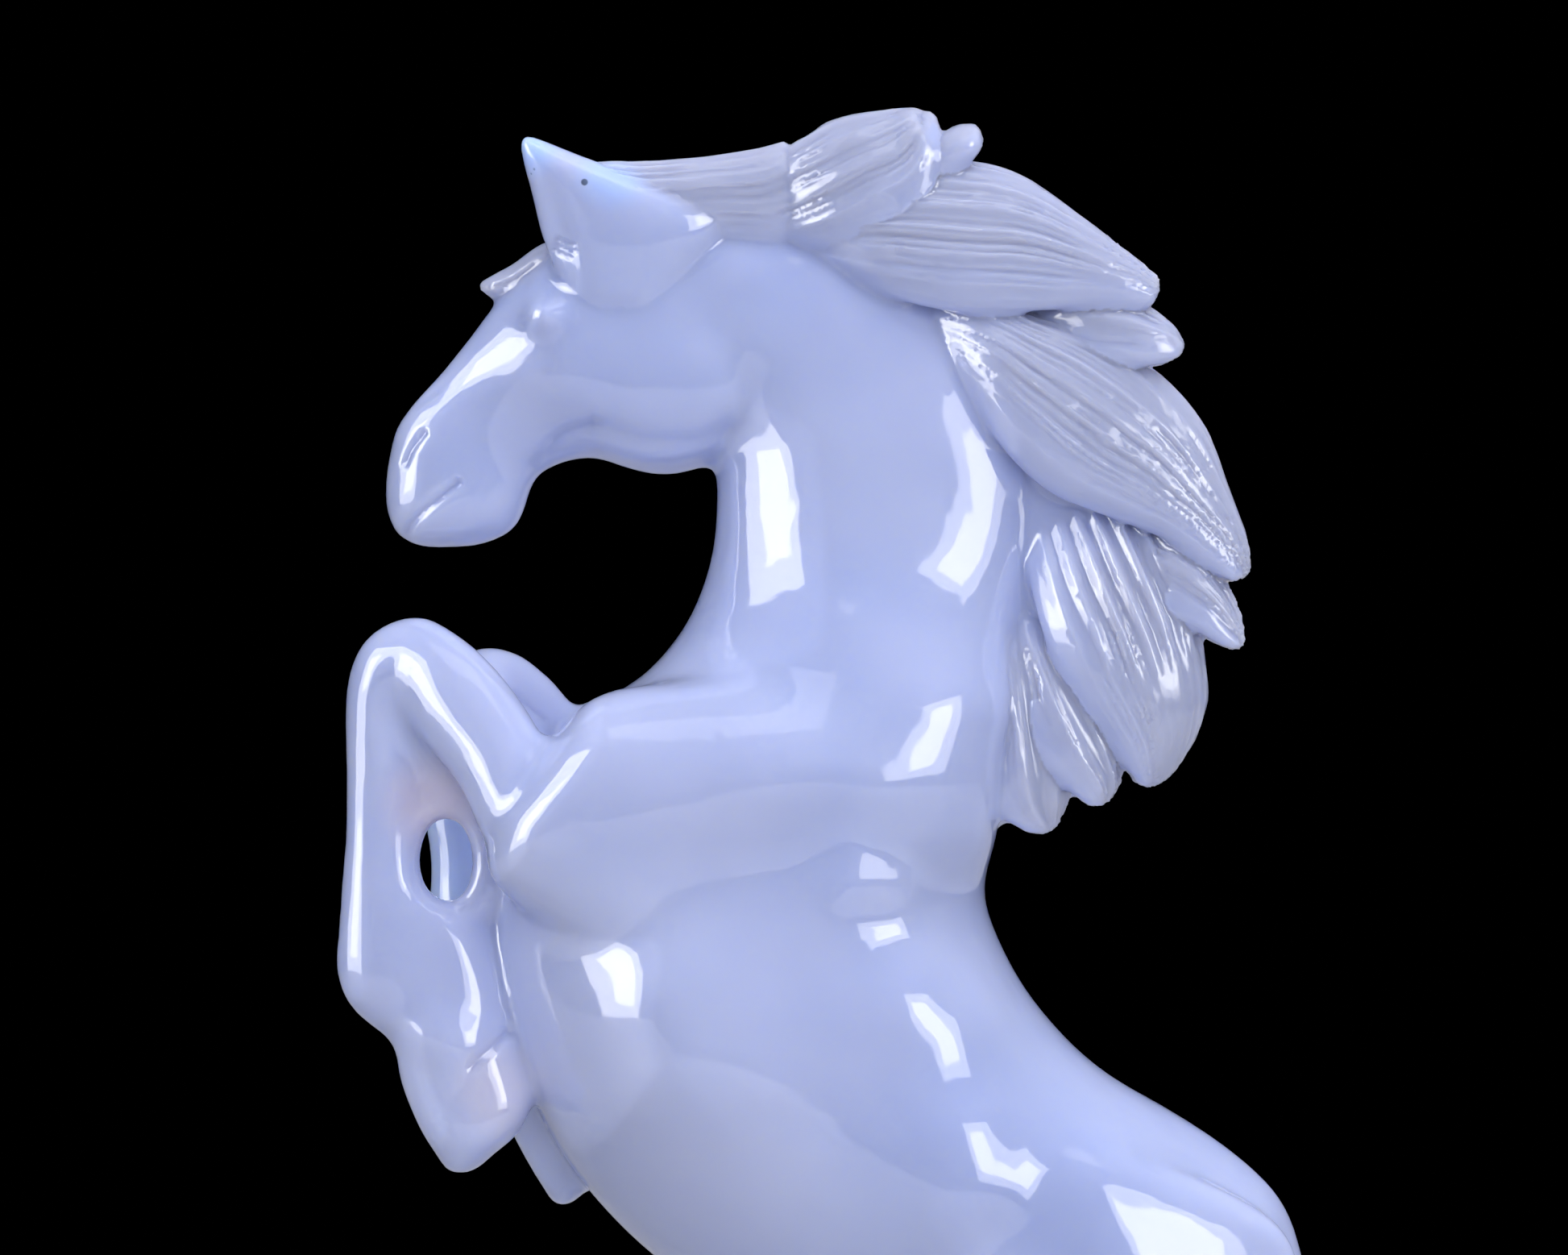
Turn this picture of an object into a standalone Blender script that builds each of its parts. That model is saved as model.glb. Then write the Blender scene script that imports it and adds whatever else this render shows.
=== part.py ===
"""A rearing horse carved from one block of blue chalcedony, standing on a low rock of the same stone.

Metres, +Z up. The horse faces -X, and its near (left) side faces -Y. The origin is the middle of the flat
underside.
"""

import math

import bmesh
import bpy
import numpy as np

# Driving sizes.
FIGURE_HEIGHT = 0.137  # from the hind soles to the crest of the mane
ROCK_THICKNESS = 0.0085  # from the underside to the ground that the hooves stand on
ROCK_MARGIN = 0.006  # of rock, around the hooves and the end of the tail

# The figure is squared up, as a carver does it: 25 squares from the soles to the crest of the mane.
SQUARE = FIGURE_HEIGHT / 25

# How finely the stone is worked, in squares, and how far each stage is rubbed down.
VOXEL = 0.09
TORSO_RUB = 0.4
LIMB_RUB = 0.135
CARVING_RUB = 0.064
TRIANGLES = 9700

# The end of a form bulges by this share of its half thickness there, in rings at these angles.
DOME = 0.6
BROAD_DOME = 0.35
DOME_ANGLES = (75, 55, 35, 15)

# Stone.
STONE_COLOUR = (0.62, 0.64, 0.86, 1.0)
STONE_ROUGHNESS = 0.08

# Each row below is a rib of the form: x and z of its front or upper end, x and z of its back or lower end,
# and half its thickness. x runs back from the middle of the rock and z up from the soles, in squares.
TRUNK = (
    (-5.0, 17.9, -7.1, 16.7, 1.75),
    (-3.40, 17.55, -7.75, 15.85, 2.10),
    (-2.18, 16.45, -8.0, 14.9, 2.30),
    (-1.84, 15.4, -7.78, 13.72, 2.45),
    (-1.3, 14.2, -7.2, 12.34, 2.55),
    (-0.4, 13.2, -6.34, 11.2, 2.57),
    (0.60, 12.61, -5.04, 10.15, 2.50),
    (1.42, 12.06, -3.6, 9.25, 2.35),
    (2.0, 11.45, -2.3, 8.55, 2.25),
    (2.24, 10.62, -1.0, 7.8, 1.95),
    (2.45, 9.6, 0.5, 7.4, 1.45),
)
NECK = (
    (-1.95, 14.9, -6.9, 16.2, 1.95),
    (-1.72, 15.75, -6.65, 17.25, 2.05),
    (-1.66, 16.7, -5.95, 18.08, 1.95),
    (-1.5, 17.9, -5.5, 18.65, 1.60),
    (-1.1, 19.1, -5.22, 19.38, 1.28),
    (-0.9, 20.2, -5.15, 19.98, 1.12),
    (-1.1, 21.4, -5.15, 20.5, 1.04),
    (-1.7, 22.5, -5.1, 21.0, 0.98),
    (-2.9, 23.2, -5.3, 21.4, 0.95),
    (-4.3, 23.7, -5.5, 21.9, 0.92),
    (-5.4, 23.9, -5.8, 22.2, 0.85),
)
HEAD = (
    (-5.2, 23.9, -4.75, 22.1, 0.75),
    (-6.1, 23.85, -4.85, 21.4, 0.88),
    (-6.85, 23.6, -5.1, 20.7, 0.94),
    (-7.38, 23.2, -5.65, 20.48, 0.96),
    (-7.82, 22.68, -6.15, 20.55, 0.88),
    (-8.2, 22.18, -6.58, 20.7, 0.70),
    (-8.51, 21.8, -6.98, 20.64, 0.58),
    (-8.86, 21.4, -7.32, 20.46, 0.52),
    (-9.09, 21.08, -7.42, 20.18, 0.55),
    (-9.2, 20.6, -7.57, 19.82, 0.56),
    (-9.24, 20.18, -8.0, 19.62, 0.48),
    (-9.15, 19.87, -8.55, 19.58, 0.32),
)
# The bulges of the cheeks and the eyes: x and z, how far out of the middle, and half sizes.
CHEEK = (-5.85, 21.75)
CHEEK_OUT = 0.42
CHEEK_RADII = (1.25, 0.58, 1.15)
EYE = (-7.2, 22.46)
EYE_OUT = 0.70
EYE_RADII = (0.32, 0.34, 0.24)
UPPER_ARM = (
    (-3.5, 17.5, -2.4, 16.1, 0.55),
    (-4.6, 17.95, -3.3, 15.5, 0.85),
    (-5.7, 17.95, -4.2, 15.0, 1.00),
    (-6.65, 17.82, -5.2, 14.7, 1.10),
    (-7.15, 17.2, -6.1, 14.6, 1.00),
    (-7.6, 16.5, -6.9, 14.75, 0.80),
    (-7.95, 15.95, -7.55, 15.2, 0.55),
)
NEAR_FORELEG = (
    (-7.1, 17.0, -7.75, 15.6, 0.50),
    (-7.27, 17.34, -7.95, 15.95, 0.55),
    (-7.59, 17.84, -8.24, 16.6, 0.56),
    (-7.99, 18.3, -8.71, 17.2, 0.52),
    (-8.39, 18.6, -8.94, 17.6, 0.49),
    (-8.75, 18.76, -9.05, 17.75, 0.50),
    (-9.17, 18.67, -9.05, 17.7, 0.50),
    (-9.50, 18.4, -9.0, 17.6, 0.49),
    (-9.66, 18.0, -8.90, 17.5, 0.46),
    (-9.71, 17.55, -8.82, 17.35, 0.42),
    (-9.70, 16.8, -8.78, 16.74, 0.37),
    (-9.71, 16.0, -8.80, 15.98, 0.36),
    (-9.76, 15.35, -8.64, 15.35, 0.38),
    (-9.81, 14.8, -8.05, 15.0, 0.42),
    (-9.81, 14.25, -7.86, 14.5, 0.46),
    (-9.6, 13.84, -7.7, 13.9, 0.44),
    (-9.12, 13.46, -7.55, 13.4, 0.42),
    (-9.06, 13.08, -7.45, 13.02, 0.46),
    (-8.88, 12.6, -7.37, 12.66, 0.50),
    (-8.68, 12.22, -7.57, 12.3, 0.50),
    (-8.5, 12.0, -7.87, 12.08, 0.38),
)
SHOULDER_OUT = 1.25  # how far out of the middle the upper arms start and end
ARM_OUT = 1.9
ELBOW_OUT = 1.55  # and how far out the forelegs start, bend and end
KNEE_OUT = 0.8
FRONT_HOOF_OUT = 0.8
NEAR_KNEE = 5  # which rib is at the knee, counted from 0
FAR_KNEE = 4
KNEE_WEB = (
    (-9.1, 17.7, -8.5, 17.6, 0.22),
    (-9.15, 17.3, -8.25, 17.2, 0.22),
    (-9.15, 16.85, -8.0, 16.75, 0.20),
    (-9.1, 16.55, -7.85, 16.5, 0.20),
)
HOLE = (-8.44, 15.72)  # the middle of the oval hole below the web, half its breadth and half its height
HOLE_RADII = (0.29, 0.51)
HOLE_RIM = 0.45  # the breadth and half the thickness of the stone around it
RIM_THICKNESS = 0.2
RIM_RIBS = 17
FAR_KNEE_WEB = (
    (-8.15, 17.5, -7.3, 17.3, 0.22),
    (-8.2, 16.9, -7.2, 16.7, 0.22),
    (-8.2, 16.2, -7.2, 16.0, 0.20),
    (-8.2, 15.5, -7.3, 15.3, 0.15),
)
FAR_FORELEG = (
    (-6.6, 16.8, -7.3, 15.4, 0.50),
    (-6.88, 17.6, -7.4, 16.0, 0.55),
    (-7.33, 18.12, -7.8, 16.9, 0.52),
    (-7.75, 18.36, -8.0, 17.3, 0.48),
    (-8.2, 18.32, -7.9, 17.25, 0.48),
    (-8.55, 17.95, -7.75, 17.2, 0.46),
    (-8.75, 17.3, -7.75, 16.95, 0.40),
    (-8.78, 16.4, -7.85, 16.3, 0.37),
    (-8.68, 15.7, -7.80, 15.65, 0.37),
    (-8.70, 14.9, -7.4, 14.9, 0.42),
    (-8.5, 14.2, -7.1, 14.4, 0.46),
    (-8.2, 13.5, -6.95, 13.8, 0.42),
    (-7.98, 13.0, -6.7, 13.3, 0.45),
    (-7.67, 12.3, -6.35, 12.7, 0.50),
    (-7.36, 11.75, -6.35, 12.17, 0.50),
    (-7.18, 11.5, -6.65, 11.74, 0.42),
)
HIND_LEG = (
    (-1.0, 12.1, 2.1, 10.8, 0.9),
    (-2.2, 10.8, 2.6, 9.4, 1.1),
    (-3.1, 9.4, 2.4, 8.1, 1.1),
    (-3.5, 8.1, 1.9, 7.1, 0.98),
    (-3.2, 7.1, 1.4, 6.4, 0.82),
    (-2.2, 6.3, 1.2, 5.8, 0.66),
    (-1.1, 5.6, 1.25, 5.3, 0.52),
    (-0.5, 4.8, 1.45, 4.9, 0.46),
    (-0.6, 4.1, 1.1, 4.0, 0.42),
    (-1.0, 3.3, 0.3, 2.95, 0.38),
    (-1.5, 2.4, -0.35, 2.0, 0.38),
    (-1.9, 1.7, -0.5, 1.2, 0.45),
    (-2.35, 1.2, -1.2, 0.65, 0.42),
    (-2.8, 0.85, -1.2, 0.4, 0.50),
    (-3.4, 0.0, -1.3, 0.0, 0.58),
    (-3.45, -0.4, -1.3, -0.4, 0.58),
)
HIP_OUT = 1.2  # how far out of the middle the hind legs start, and their hooves stand
HIND_HOOF_OUT = 1.7
FAR_STEP = 1.1  # how far ahead of the near hind hoof the far one stands
STIFLE_HEIGHT = 8.0  # below it, the far hind leg swings ahead
TAIL = (
    (1.9, 10.8, 2.0, 9.2, 0.50),
    (2.6, 10.5, 2.4, 9.0, 0.55),
    (3.4, 9.9, 2.6, 8.5, 0.62),
    (4.1, 8.8, 2.8, 7.7, 0.70),
    (4.5, 7.4, 2.9, 6.6, 0.78),
    (4.6, 5.8, 2.8, 5.3, 0.85),
    (4.4, 4.1, 2.5, 3.9, 0.88),
    (4.0, 2.5, 2.1, 2.5, 0.85),
    (3.8, 1.2, 1.8, 1.2, 0.85),
    (3.8, -0.3, 1.6, -0.3, 0.90),
)
TAIL_CORE = 0.7  # half the breadth of the core and of each lock around it, as a share of the tail's
TAIL_LOCK = 0.4
TAIL_LOCKS = 6
TAIL_TWIST = 2.4  # radians, from the dock to the rock
EAR_ROOT_OUT = 0.62  # how far out of the middle an ear starts and ends
EAR_TIP_OUT = 0.88
EAR = (
    (-6.95, 22.7, -5.6, 22.7, 0.36),
    (-7.26, 23.4, -5.0, 23.6, 0.40),
    (-7.38, 23.89, -5.7, 24.05, 0.36),
    (-7.47, 24.24, -6.45, 24.32, 0.30),
    (-7.53, 24.5, -7.0, 24.53, 0.22),
    (-7.54, 24.65, -7.33, 24.65, 0.14),
)
FORELOCK = (
    (-6.9, 23.5, -7.0, 22.9, 0.42),
    (-7.3, 23.35, -7.35, 22.85, 0.40),
    (-7.62, 23.12, -7.6, 22.72, 0.34),
    (-7.88, 22.98, -7.85, 22.68, 0.26),
    (-7.97, 22.93, -7.93, 22.7, 0.16),
)
# The locks of the mane, as ribs, with the number of flutes along each.
MANE = {
    "poll_tuft": (
        3,
        (
            (-6.9, 24.1, -6.7, 23.4, 0.28),
            (-6.6, 24.38, -6.3, 23.4, 0.30),
            (-6.1, 24.38, -5.6, 23.4, 0.32),
            (-5.3, 24.43, -4.9, 23.4, 0.32),
            (-4.7, 24.52, -4.3, 23.4, 0.32),
            (-4.42, 24.58, -3.9, 23.7, 0.28),
            (-4.28, 24.62, -4.05, 24.2, 0.16),
        ),
    ),
    "crest": (
        4,
        (
            (-4.95, 24.0, -4.5, 23.4, 0.20),
            (-4.2, 24.57, -3.7, 23.3, 0.33),
            (-3.7, 24.88, -3.0, 23.5, 0.38),
            (-3.15, 25.0, -2.5, 23.9, 0.34),
            (-2.65, 25.03, -2.35, 24.4, 0.26),
            (-2.45, 24.98, -2.42, 24.65, 0.14),
        ),
    ),
    "crest_tip": (
        1,
        (
            (-3.2, 24.3, -3.0, 23.8, 0.24),
            (-2.6, 24.42, -2.4, 24.1, 0.26),
            (-2.15, 24.74, -2.02, 24.38, 0.24),
            (-1.92, 24.8, -1.86, 24.52, 0.16),
        ),
    ),
    "upper": (
        6,
        (
            (-4.4, 23.9, -3.9, 23.3, 0.36),
            (-3.3, 24.3, -3.1, 22.75, 0.44),
            (-2.2, 24.4, -2.2, 22.5, 0.44),
            (-1.36, 24.22, -1.2, 22.5, 0.40),
            (-0.57, 23.68, -0.55, 22.56, 0.34),
            (0.0, 23.22, 0.0, 22.57, 0.26),
            (0.33, 22.95, 0.26, 22.58, 0.16),
        ),
    ),
    "upper_tip": (
        2,
        (
            (-1.2, 22.9, -1.3, 22.1, 0.28),
            (-0.4, 22.85, -0.5, 21.95, 0.30),
            (0.2, 22.6, 0.1, 21.85, 0.28),
            (0.56, 22.32, 0.42, 21.87, 0.20),
            (0.66, 22.15, 0.58, 21.95, 0.12),
        ),
    ),
    "middle": (
        7,
        (
            (-2.6, 22.9, -2.3, 22.1, 0.36),
            (-1.4, 22.55, -1.95, 21.5, 0.46),
            (-0.4, 22.2, -1.55, 20.8, 0.50),
            (0.42, 21.72, -1.0, 20.28, 0.48),
            (0.95, 21.1, -0.3, 19.98, 0.42),
            (1.25, 20.3, 0.4, 19.72, 0.34),
            (1.46, 19.7, 1.0, 19.35, 0.22),
            (1.49, 19.35, 1.28, 19.19, 0.13),
        ),
    ),
    "middle_tip": (
        2,
        (
            (0.2, 20.2, -0.2, 19.3, 0.28),
            (0.75, 19.9, 0.35, 18.85, 0.30),
            (1.15, 19.3, 0.8, 18.6, 0.27),
            (1.38, 18.75, 1.08, 18.42, 0.20),
            (1.42, 18.45, 1.3, 18.36, 0.12),
        ),
    ),
    "lower": (
        5,
        (
            (0.1, 20.3, -1.35, 20.0, 0.38),
            (0.55, 19.5, -1.22, 19.1, 0.48),
            (0.88, 18.7, -1.0, 18.35, 0.50),
            (1.0, 17.9, -0.62, 17.7, 0.46),
            (0.88, 17.35, -0.25, 17.2, 0.38),
            (0.55, 16.85, -0.02, 16.85, 0.26),
            (0.3, 16.73, 0.12, 16.7, 0.15),
        ),
    ),
    "lower_tip": (
        3,
        (
            (-0.8, 18.8, -1.5, 18.7, 0.34),
            (-0.5, 18.1, -1.4, 17.8, 0.38),
            (-0.15, 17.4, -1.1, 17.0, 0.34),
            (-0.05, 16.85, -0.7, 16.55, 0.26),
            (-0.2, 16.55, -0.52, 16.42, 0.16),
        ),
    ),
    "wither_lock": (
        3,
        (
            (-1.1, 18.9, -1.7, 18.8, 0.36),
            (-0.95, 18.0, -1.78, 17.8, 0.40),
            (-0.72, 17.2, -1.78, 16.8, 0.36),
            (-0.68, 16.62, -1.6, 16.28, 0.28),
            (-0.85, 16.2, -1.3, 16.1, 0.18),
        ),
    ),
}
MANE_ROOT = (
    (-4.3, 22.9, -3.9, 24.3, 0.60),
    (-3.2, 22.4, -2.5, 24.1, 0.62),
    (-2.3, 21.6, -0.9, 23.2, 0.64),
    (-2.1, 20.6, 0.2, 21.5, 0.66),
    (-2.0, 19.6, 0.45, 20.0, 0.66),
    (-2.1, 18.6, 0.4, 18.8, 0.64),
    (-2.2, 17.6, -0.3, 17.5, 0.60),
    (-2.3, 16.7, -1.15, 16.6, 0.54),
    (-2.4, 16.0, -1.75, 15.95, 0.48),
)
LOCK_OUT = 0.55  # how far out of the middle of the neck a lock lies
LOCK_SINK = 0.35  # how much deeper in the neck it starts
LOCK_LEAN = 0.42  # how much further out its lower edge lies, over the next lock
UPRIGHT_LOCKS = ("poll_tuft",)  # the locks that lean less, and their lean
UPRIGHT_LEAN = 0.05
LEAN_RIBS = 2  # the ribs over which it comes to lean
FLUTE_DEPTH = 0.35  # of a lock's flutes, as a share of its half thickness

# Muscles, and the folds between them where the height is negative. Each follows a path of x and z, on both
# sides of the horse. With it: half its width, and its height.
MUSCLES = {
    "nose": (((-8.75, 21.00), (-8.60, 21.20)), 0.40, 0.06),
    "behind_the_jaw": (((-4.80, 22.60), (-4.66, 21.90), (-4.90, 21.15)), 0.30, -0.04),
    "throat": (((-4.70, 22.00), (-4.75, 21.50)), 0.55, 0.12),
    "side_of_the_neck": (((-3.60, 20.80), (-3.60, 18.80)), 0.95, 0.14),
    "neck_root": (((-2.90, 18.10), (-1.90, 18.10)), 0.85, 0.18),
    "base_of_the_neck": (((-4.40, 16.80), (-3.60, 16.70)), 1.20, 0.38),
    "withers": (((-2.00, 17.40), (-2.00, 16.30)), 0.85, 0.45),
    "withers_fold": (((-3.40, 16.35), (-2.10, 16.32)), 0.28, -0.03),
    "elbow": (((-7.40, 16.20), (-6.90, 16.80), (-6.55, 17.20)), 0.40, 0.12),
    "fold_of_the_arm": (((-6.90, 17.66), (-7.26, 17.29), (-7.50, 16.80)), 0.12, -0.05),
    "fetlock": (((-8.55, 13.55), (-8.35, 13.45)), 0.35, 0.16),
    "behind_the_shoulder": (((-7.00, 15.45), (-5.70, 15.75), (-3.90, 16.15)), 0.60, -0.10),
    "over_the_ribs": (((-3.40, 15.48), (-2.95, 15.43)), 0.42, 0.15),
    "girth": (((-5.75, 13.90), (-5.55, 13.30)), 1.20, 0.45),
    "loin": (((-2.60, 14.00), (-2.20, 13.80)), 0.85, 0.27),
    "thigh": (((-2.15, 12.30), (-1.95, 10.80)), 0.75, 0.24),
    "rump": (((-0.30, 11.80), (-0.10, 10.80)), 0.55, 0.20),
    "croup": (((1.40, 11.80), (1.60, 10.40)), 1.10, -0.20),
    "stifle_fold": (((-3.30, 9.75), (-2.60, 10.50), (-1.60, 11.10)), 0.45, -0.12),
}
PATH_STEPS = 6  # between one bend of a path and the next
SIDE_ON = 1.5  # how soon a muscle comes to its full height, as the skin turns from the front to the side

# The rock's edge: heights in shares of its thickness, from the ground up, and shares of its reach.
ROCK_EDGE = ((-1.6, 1.0), (-0.6, 1.02), (-0.25, 1.0), (-0.08, 0.94), (0.0, 0.84), (0.04, 0.4))
# Its waves: depth as a share of its reach, number around it, and where they start, in radians.
ROCK_WAVES = ((0.035, 3, 0.6), (0.025, 7, 0.0))


def spline(rows, steps):
    """Rows with steps between each pair of them, along a smooth curve."""
    rows = np.asarray(rows, float)
    ends = np.vstack([2 * rows[0] - rows[1], rows, 2 * rows[-1] - rows[-2]])
    made = []
    for before, start, stop, after in zip(ends, ends[1:], ends[2:], ends[3:]):
        for t in np.arange(steps) / steps:
            linear = (stop - before) * t
            square = (2 * before - 5 * start + 4 * stop - after) * t**2
            cube = (3 * start - before - 3 * stop + after) * t**3
            made.append(0.5 * (2 * start + linear + square + cube))
    return np.vstack([made, rows[-1]])


def unit(vectors):
    return vectors / np.maximum(np.linalg.norm(vectors, axis=-1, keepdims=True), 1e-9)


def placed(ribs, y_start, y_end, lean=0.0):
    """The ribs' ends in space, and their half thicknesses."""
    ribs = np.asarray(ribs, float)
    y = np.linspace(y_start, y_end, len(ribs))
    front = np.column_stack([ribs[:, 0], y, ribs[:, 1]])
    back = np.column_stack([ribs[:, 2], y + lean, ribs[:, 3]])
    return np.column_stack([front, back, ribs[:, 4]])


def loft(rows, sides=28, steps=5, dome=DOME, flutes=0):
    """A closed skin over placed ribs, with a dome on each end."""
    rows = spline(rows, steps)
    front = rows[:, 0:3]
    back = rows[:, 3:6]
    centre = (front + back) / 2
    half = (front - back) / 2
    along = unit(np.gradient(centre, axis=0))
    side = unit(np.cross(half, along)) * rows[:, 6:7]
    turn = np.linspace(0, 2 * math.pi, sides, endpoint=False)
    across = np.cos(turn)
    groove = np.abs(np.sin(math.pi * flutes * (across + 1) / 2))
    out = np.sin(turn) * (1 - FLUTE_DEPTH * groove)
    mesh = bmesh.new()
    loops = []
    dome_angles = np.radians(DOME_ANGLES)
    stations = [(0, -math.sin(angle), math.cos(angle)) for angle in dome_angles]
    stations += [(i, 0.0, 1.0) for i in range(len(rows))]
    stations += [(-1, math.sin(angle), math.cos(angle)) for angle in dome_angles[::-1]]
    for i, reach, size in stations:
        middle = centre[i] + along[i] * rows[i, 6] * dome * reach
        ring = middle + size * (np.outer(across, half[i]) + np.outer(out, side[i]))
        loops.append([mesh.verts.new(point) for point in ring])
    for loop, following in zip(loops, loops[1:]):
        for i in range(sides):
            j = (i + 1) % sides
            mesh.faces.new((loop[i], loop[j], following[j], following[i]))
    mesh.faces.new(loops[0][::-1])
    mesh.faces.new(loops[-1])
    bmesh.ops.recalc_face_normals(mesh, faces=mesh.faces)
    return mesh


def blob(centre, radii):
    """An ellipsoid."""
    mesh = bmesh.new()
    bmesh.ops.create_icosphere(mesh, subdivisions=3, radius=1.0)
    bmesh.ops.scale(mesh, verts=mesh.verts, vec=radii)
    bmesh.ops.translate(mesh, verts=mesh.verts, vec=centre)
    return mesh


def both_sides_blob(centre, out, radii):
    """A blob on the near side and on the far side."""
    x, z = centre
    return [blob((x, -out, z), radii), blob((x, out, z), radii)]


def both_sides(ribs, y_start, y_end, lean=0.0, **form):
    """The loft on the near side, where y is negative, and on the far side."""
    near = loft(placed(ribs, -y_start, -y_end, -lean), **form)
    far = loft(placed(ribs, y_start, y_end, lean), **form)
    return [near, far]


def foreleg(ribs, y_sign, knee):
    """A foreleg, which comes in from the elbow to the knee and then hangs straight."""
    rows = placed(ribs, 0.0, 0.0)
    stations = (0, 1, knee, len(ribs) - 1)
    out = np.interp(np.arange(len(ribs)), stations, (ELBOW_OUT, ELBOW_OUT, KNEE_OUT, FRONT_HOOF_OUT))
    rows[:, 1] = y_sign * out
    rows[:, 4] = y_sign * out
    return loft(rows)


def rim_ribs():
    """Ribs around the oval hole, from its edge outward."""
    ribs = []
    for angle in np.linspace(0, 2 * math.pi, RIM_RIBS):
        across = math.cos(angle)
        up = math.sin(angle)
        inner = (HOLE[0] + HOLE_RADII[0] * across, HOLE[1] + HOLE_RADII[1] * up)
        ribs.append((*inner, inner[0] + HOLE_RIM * across, inner[1] + HOLE_RIM * up, RIM_THICKNESS))
    return ribs


def hind_legs():
    swung = []
    for front_x, front_z, back_x, back_z, thickness in HIND_LEG:
        front_x -= FAR_STEP * max(0.0, 1 - front_z / STIFLE_HEIGHT)
        back_x -= FAR_STEP * max(0.0, 1 - back_z / STIFLE_HEIGHT)
        swung.append((front_x, front_z, back_x, back_z, thickness))
    near = loft(placed(HIND_LEG, -HIP_OUT, -HIND_HOOF_OUT))
    far = loft(placed(swung, HIP_OUT, HIND_HOOF_OUT))
    return [near, far]


def tail():
    """Locks that wind around each other, from the dock to the rock."""
    rows = placed(TAIL, 0.0, 0.0)
    centre = (rows[:, 0:3] + rows[:, 3:6]) / 2
    half = (rows[:, 0:3] - rows[:, 3:6]) / 2
    side = np.outer(rows[:, 6], (0, 1, 0))
    wind = np.linspace(0, TAIL_TWIST, len(rows))[:, None]
    core = np.hstack([centre + TAIL_CORE * half, centre - TAIL_CORE * half, TAIL_CORE * rows[:, 6:7]])
    made = [loft(core)]
    for k in range(TAIL_LOCKS):
        angle = wind + 2 * math.pi * k / TAIL_LOCKS
        middle = centre + (1 - TAIL_LOCK) * (half * np.cos(angle) + side * np.sin(angle))
        reach = TAIL_LOCK * half
        lock = np.hstack([middle + reach, middle - reach, TAIL_LOCK * rows[:, 6:7]])
        made.append(loft(lock, sides=16))
    return made


def mane():
    made = []
    for name, (flutes, ribs) in MANE.items():
        rows = placed(ribs, 0.0, 0.0)
        made.append(loft(rows))
        out = np.full(len(ribs), LOCK_OUT)
        out[0] -= LOCK_SINK
        lean = UPRIGHT_LEAN if name in UPRIGHT_LOCKS else LOCK_LEAN
        lean = lean * np.clip(np.arange(len(ribs)) / LEAN_RIBS, 0, 1)
        for y_sign in (-1, 1):
            rows[:, 1] = y_sign * out
            rows[:, 4] = y_sign * (out + lean)
            made.append(loft(rows, sides=64, flutes=flutes))
    made.append(loft(placed(MANE_ROOT, 0.0, 0.0)))
    return made


def rock(front, back, width):
    """A low rock with an uneven edge, deeper than it ends up, for the underside to be cut from."""
    margin = ROCK_MARGIN / SQUARE
    thickness = ROCK_THICKNESS / SQUARE
    middle = (front + back) / 2
    reach = (back - front) / 2 + margin
    spread = width / 2 + margin
    turn = np.linspace(0, 2 * math.pi, 96, endpoint=False)
    mesh = bmesh.new()
    loops = []
    for height, share in ROCK_EDGE:
        uneven = 1 + sum(depth * np.sin(count * turn + start) for depth, count, start in ROCK_WAVES)
        x = middle + reach * share * uneven * np.cos(turn)
        y = spread * share * uneven * np.sin(turn)
        loops.append([mesh.verts.new((a, b, thickness * height)) for a, b in zip(x, y)])
    for loop, following in zip(loops, loops[1:]):
        for i in range(len(turn)):
            j = (i + 1) % len(turn)
            mesh.faces.new((loop[i], loop[j], following[j], following[i]))
    mesh.faces.new(loops[0][::-1])
    mesh.faces.new(loops[-1])
    bmesh.ops.recalc_face_normals(mesh, faces=mesh.faces)
    return mesh


def whole(pieces, rub):
    """One mesh whose skin runs around all the pieces, rubbed down as far as rub."""
    data = bpy.data.meshes.new("pieces")
    block = bmesh.new()
    for piece in pieces:
        piece.to_mesh(data)
        piece.free()
        block.from_mesh(data)
    block.to_mesh(data)
    made = bpy.data.objects.new("pieces", data)
    bpy.context.scene.collection.objects.link(made)
    fuse = made.modifiers.new("fuse", "REMESH")
    fuse.mode = "VOXEL"
    fuse.voxel_size = VOXEL
    smoothing = made.modifiers.new("rub_down", "SMOOTH")
    smoothing.factor = 0.5
    smoothing.iterations = round(4 * (rub / VOXEL) ** 2)
    settle(made)
    block.clear()
    block.from_mesh(made.data)
    bpy.data.objects.remove(made)
    return block


def distance_to_path(places, path):
    """How far each place is from a path of straight stretches."""
    nearest = np.full(len(places), np.inf)
    for start, stop in zip(path, path[1:]):
        stretch = stop - start
        share = np.clip((places - start) @ stretch / (stretch @ stretch), 0, 1)
        nearest = np.minimum(nearest, np.linalg.norm(places - start - share[:, None] * stretch, axis=1))
    return nearest


def raise_muscles(block):
    """Raises the skin softly along each muscle, and sinks it along each fold."""
    block.normal_update()
    points = np.array([vert.co for vert in block.verts])
    normals = np.array([vert.normal for vert in block.verts])
    for path, width, height in MUSCLES.values():
        path = spline(path, PATH_STEPS) if len(path) > 2 else np.array(path)
        away = distance_to_path(points[:, [0, 2]], path)
        lift = height * np.exp(-((away / width) ** 2)) * np.clip(SIDE_ON * np.abs(normals[:, 1]), 0, 1)
        points += normals * lift[:, None]
    for vert, point in zip(block.verts, points):
        vert.co = point


def settle(made):
    """Keeps the shape that the modifiers give."""
    graph = bpy.context.evaluated_depsgraph_get()
    made.data = bpy.data.meshes.new_from_object(made.evaluated_get(graph))
    made.modifiers.clear()


def triangles(data):
    return sum(len(face.vertices) - 2 for face in data.polygons)


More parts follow.
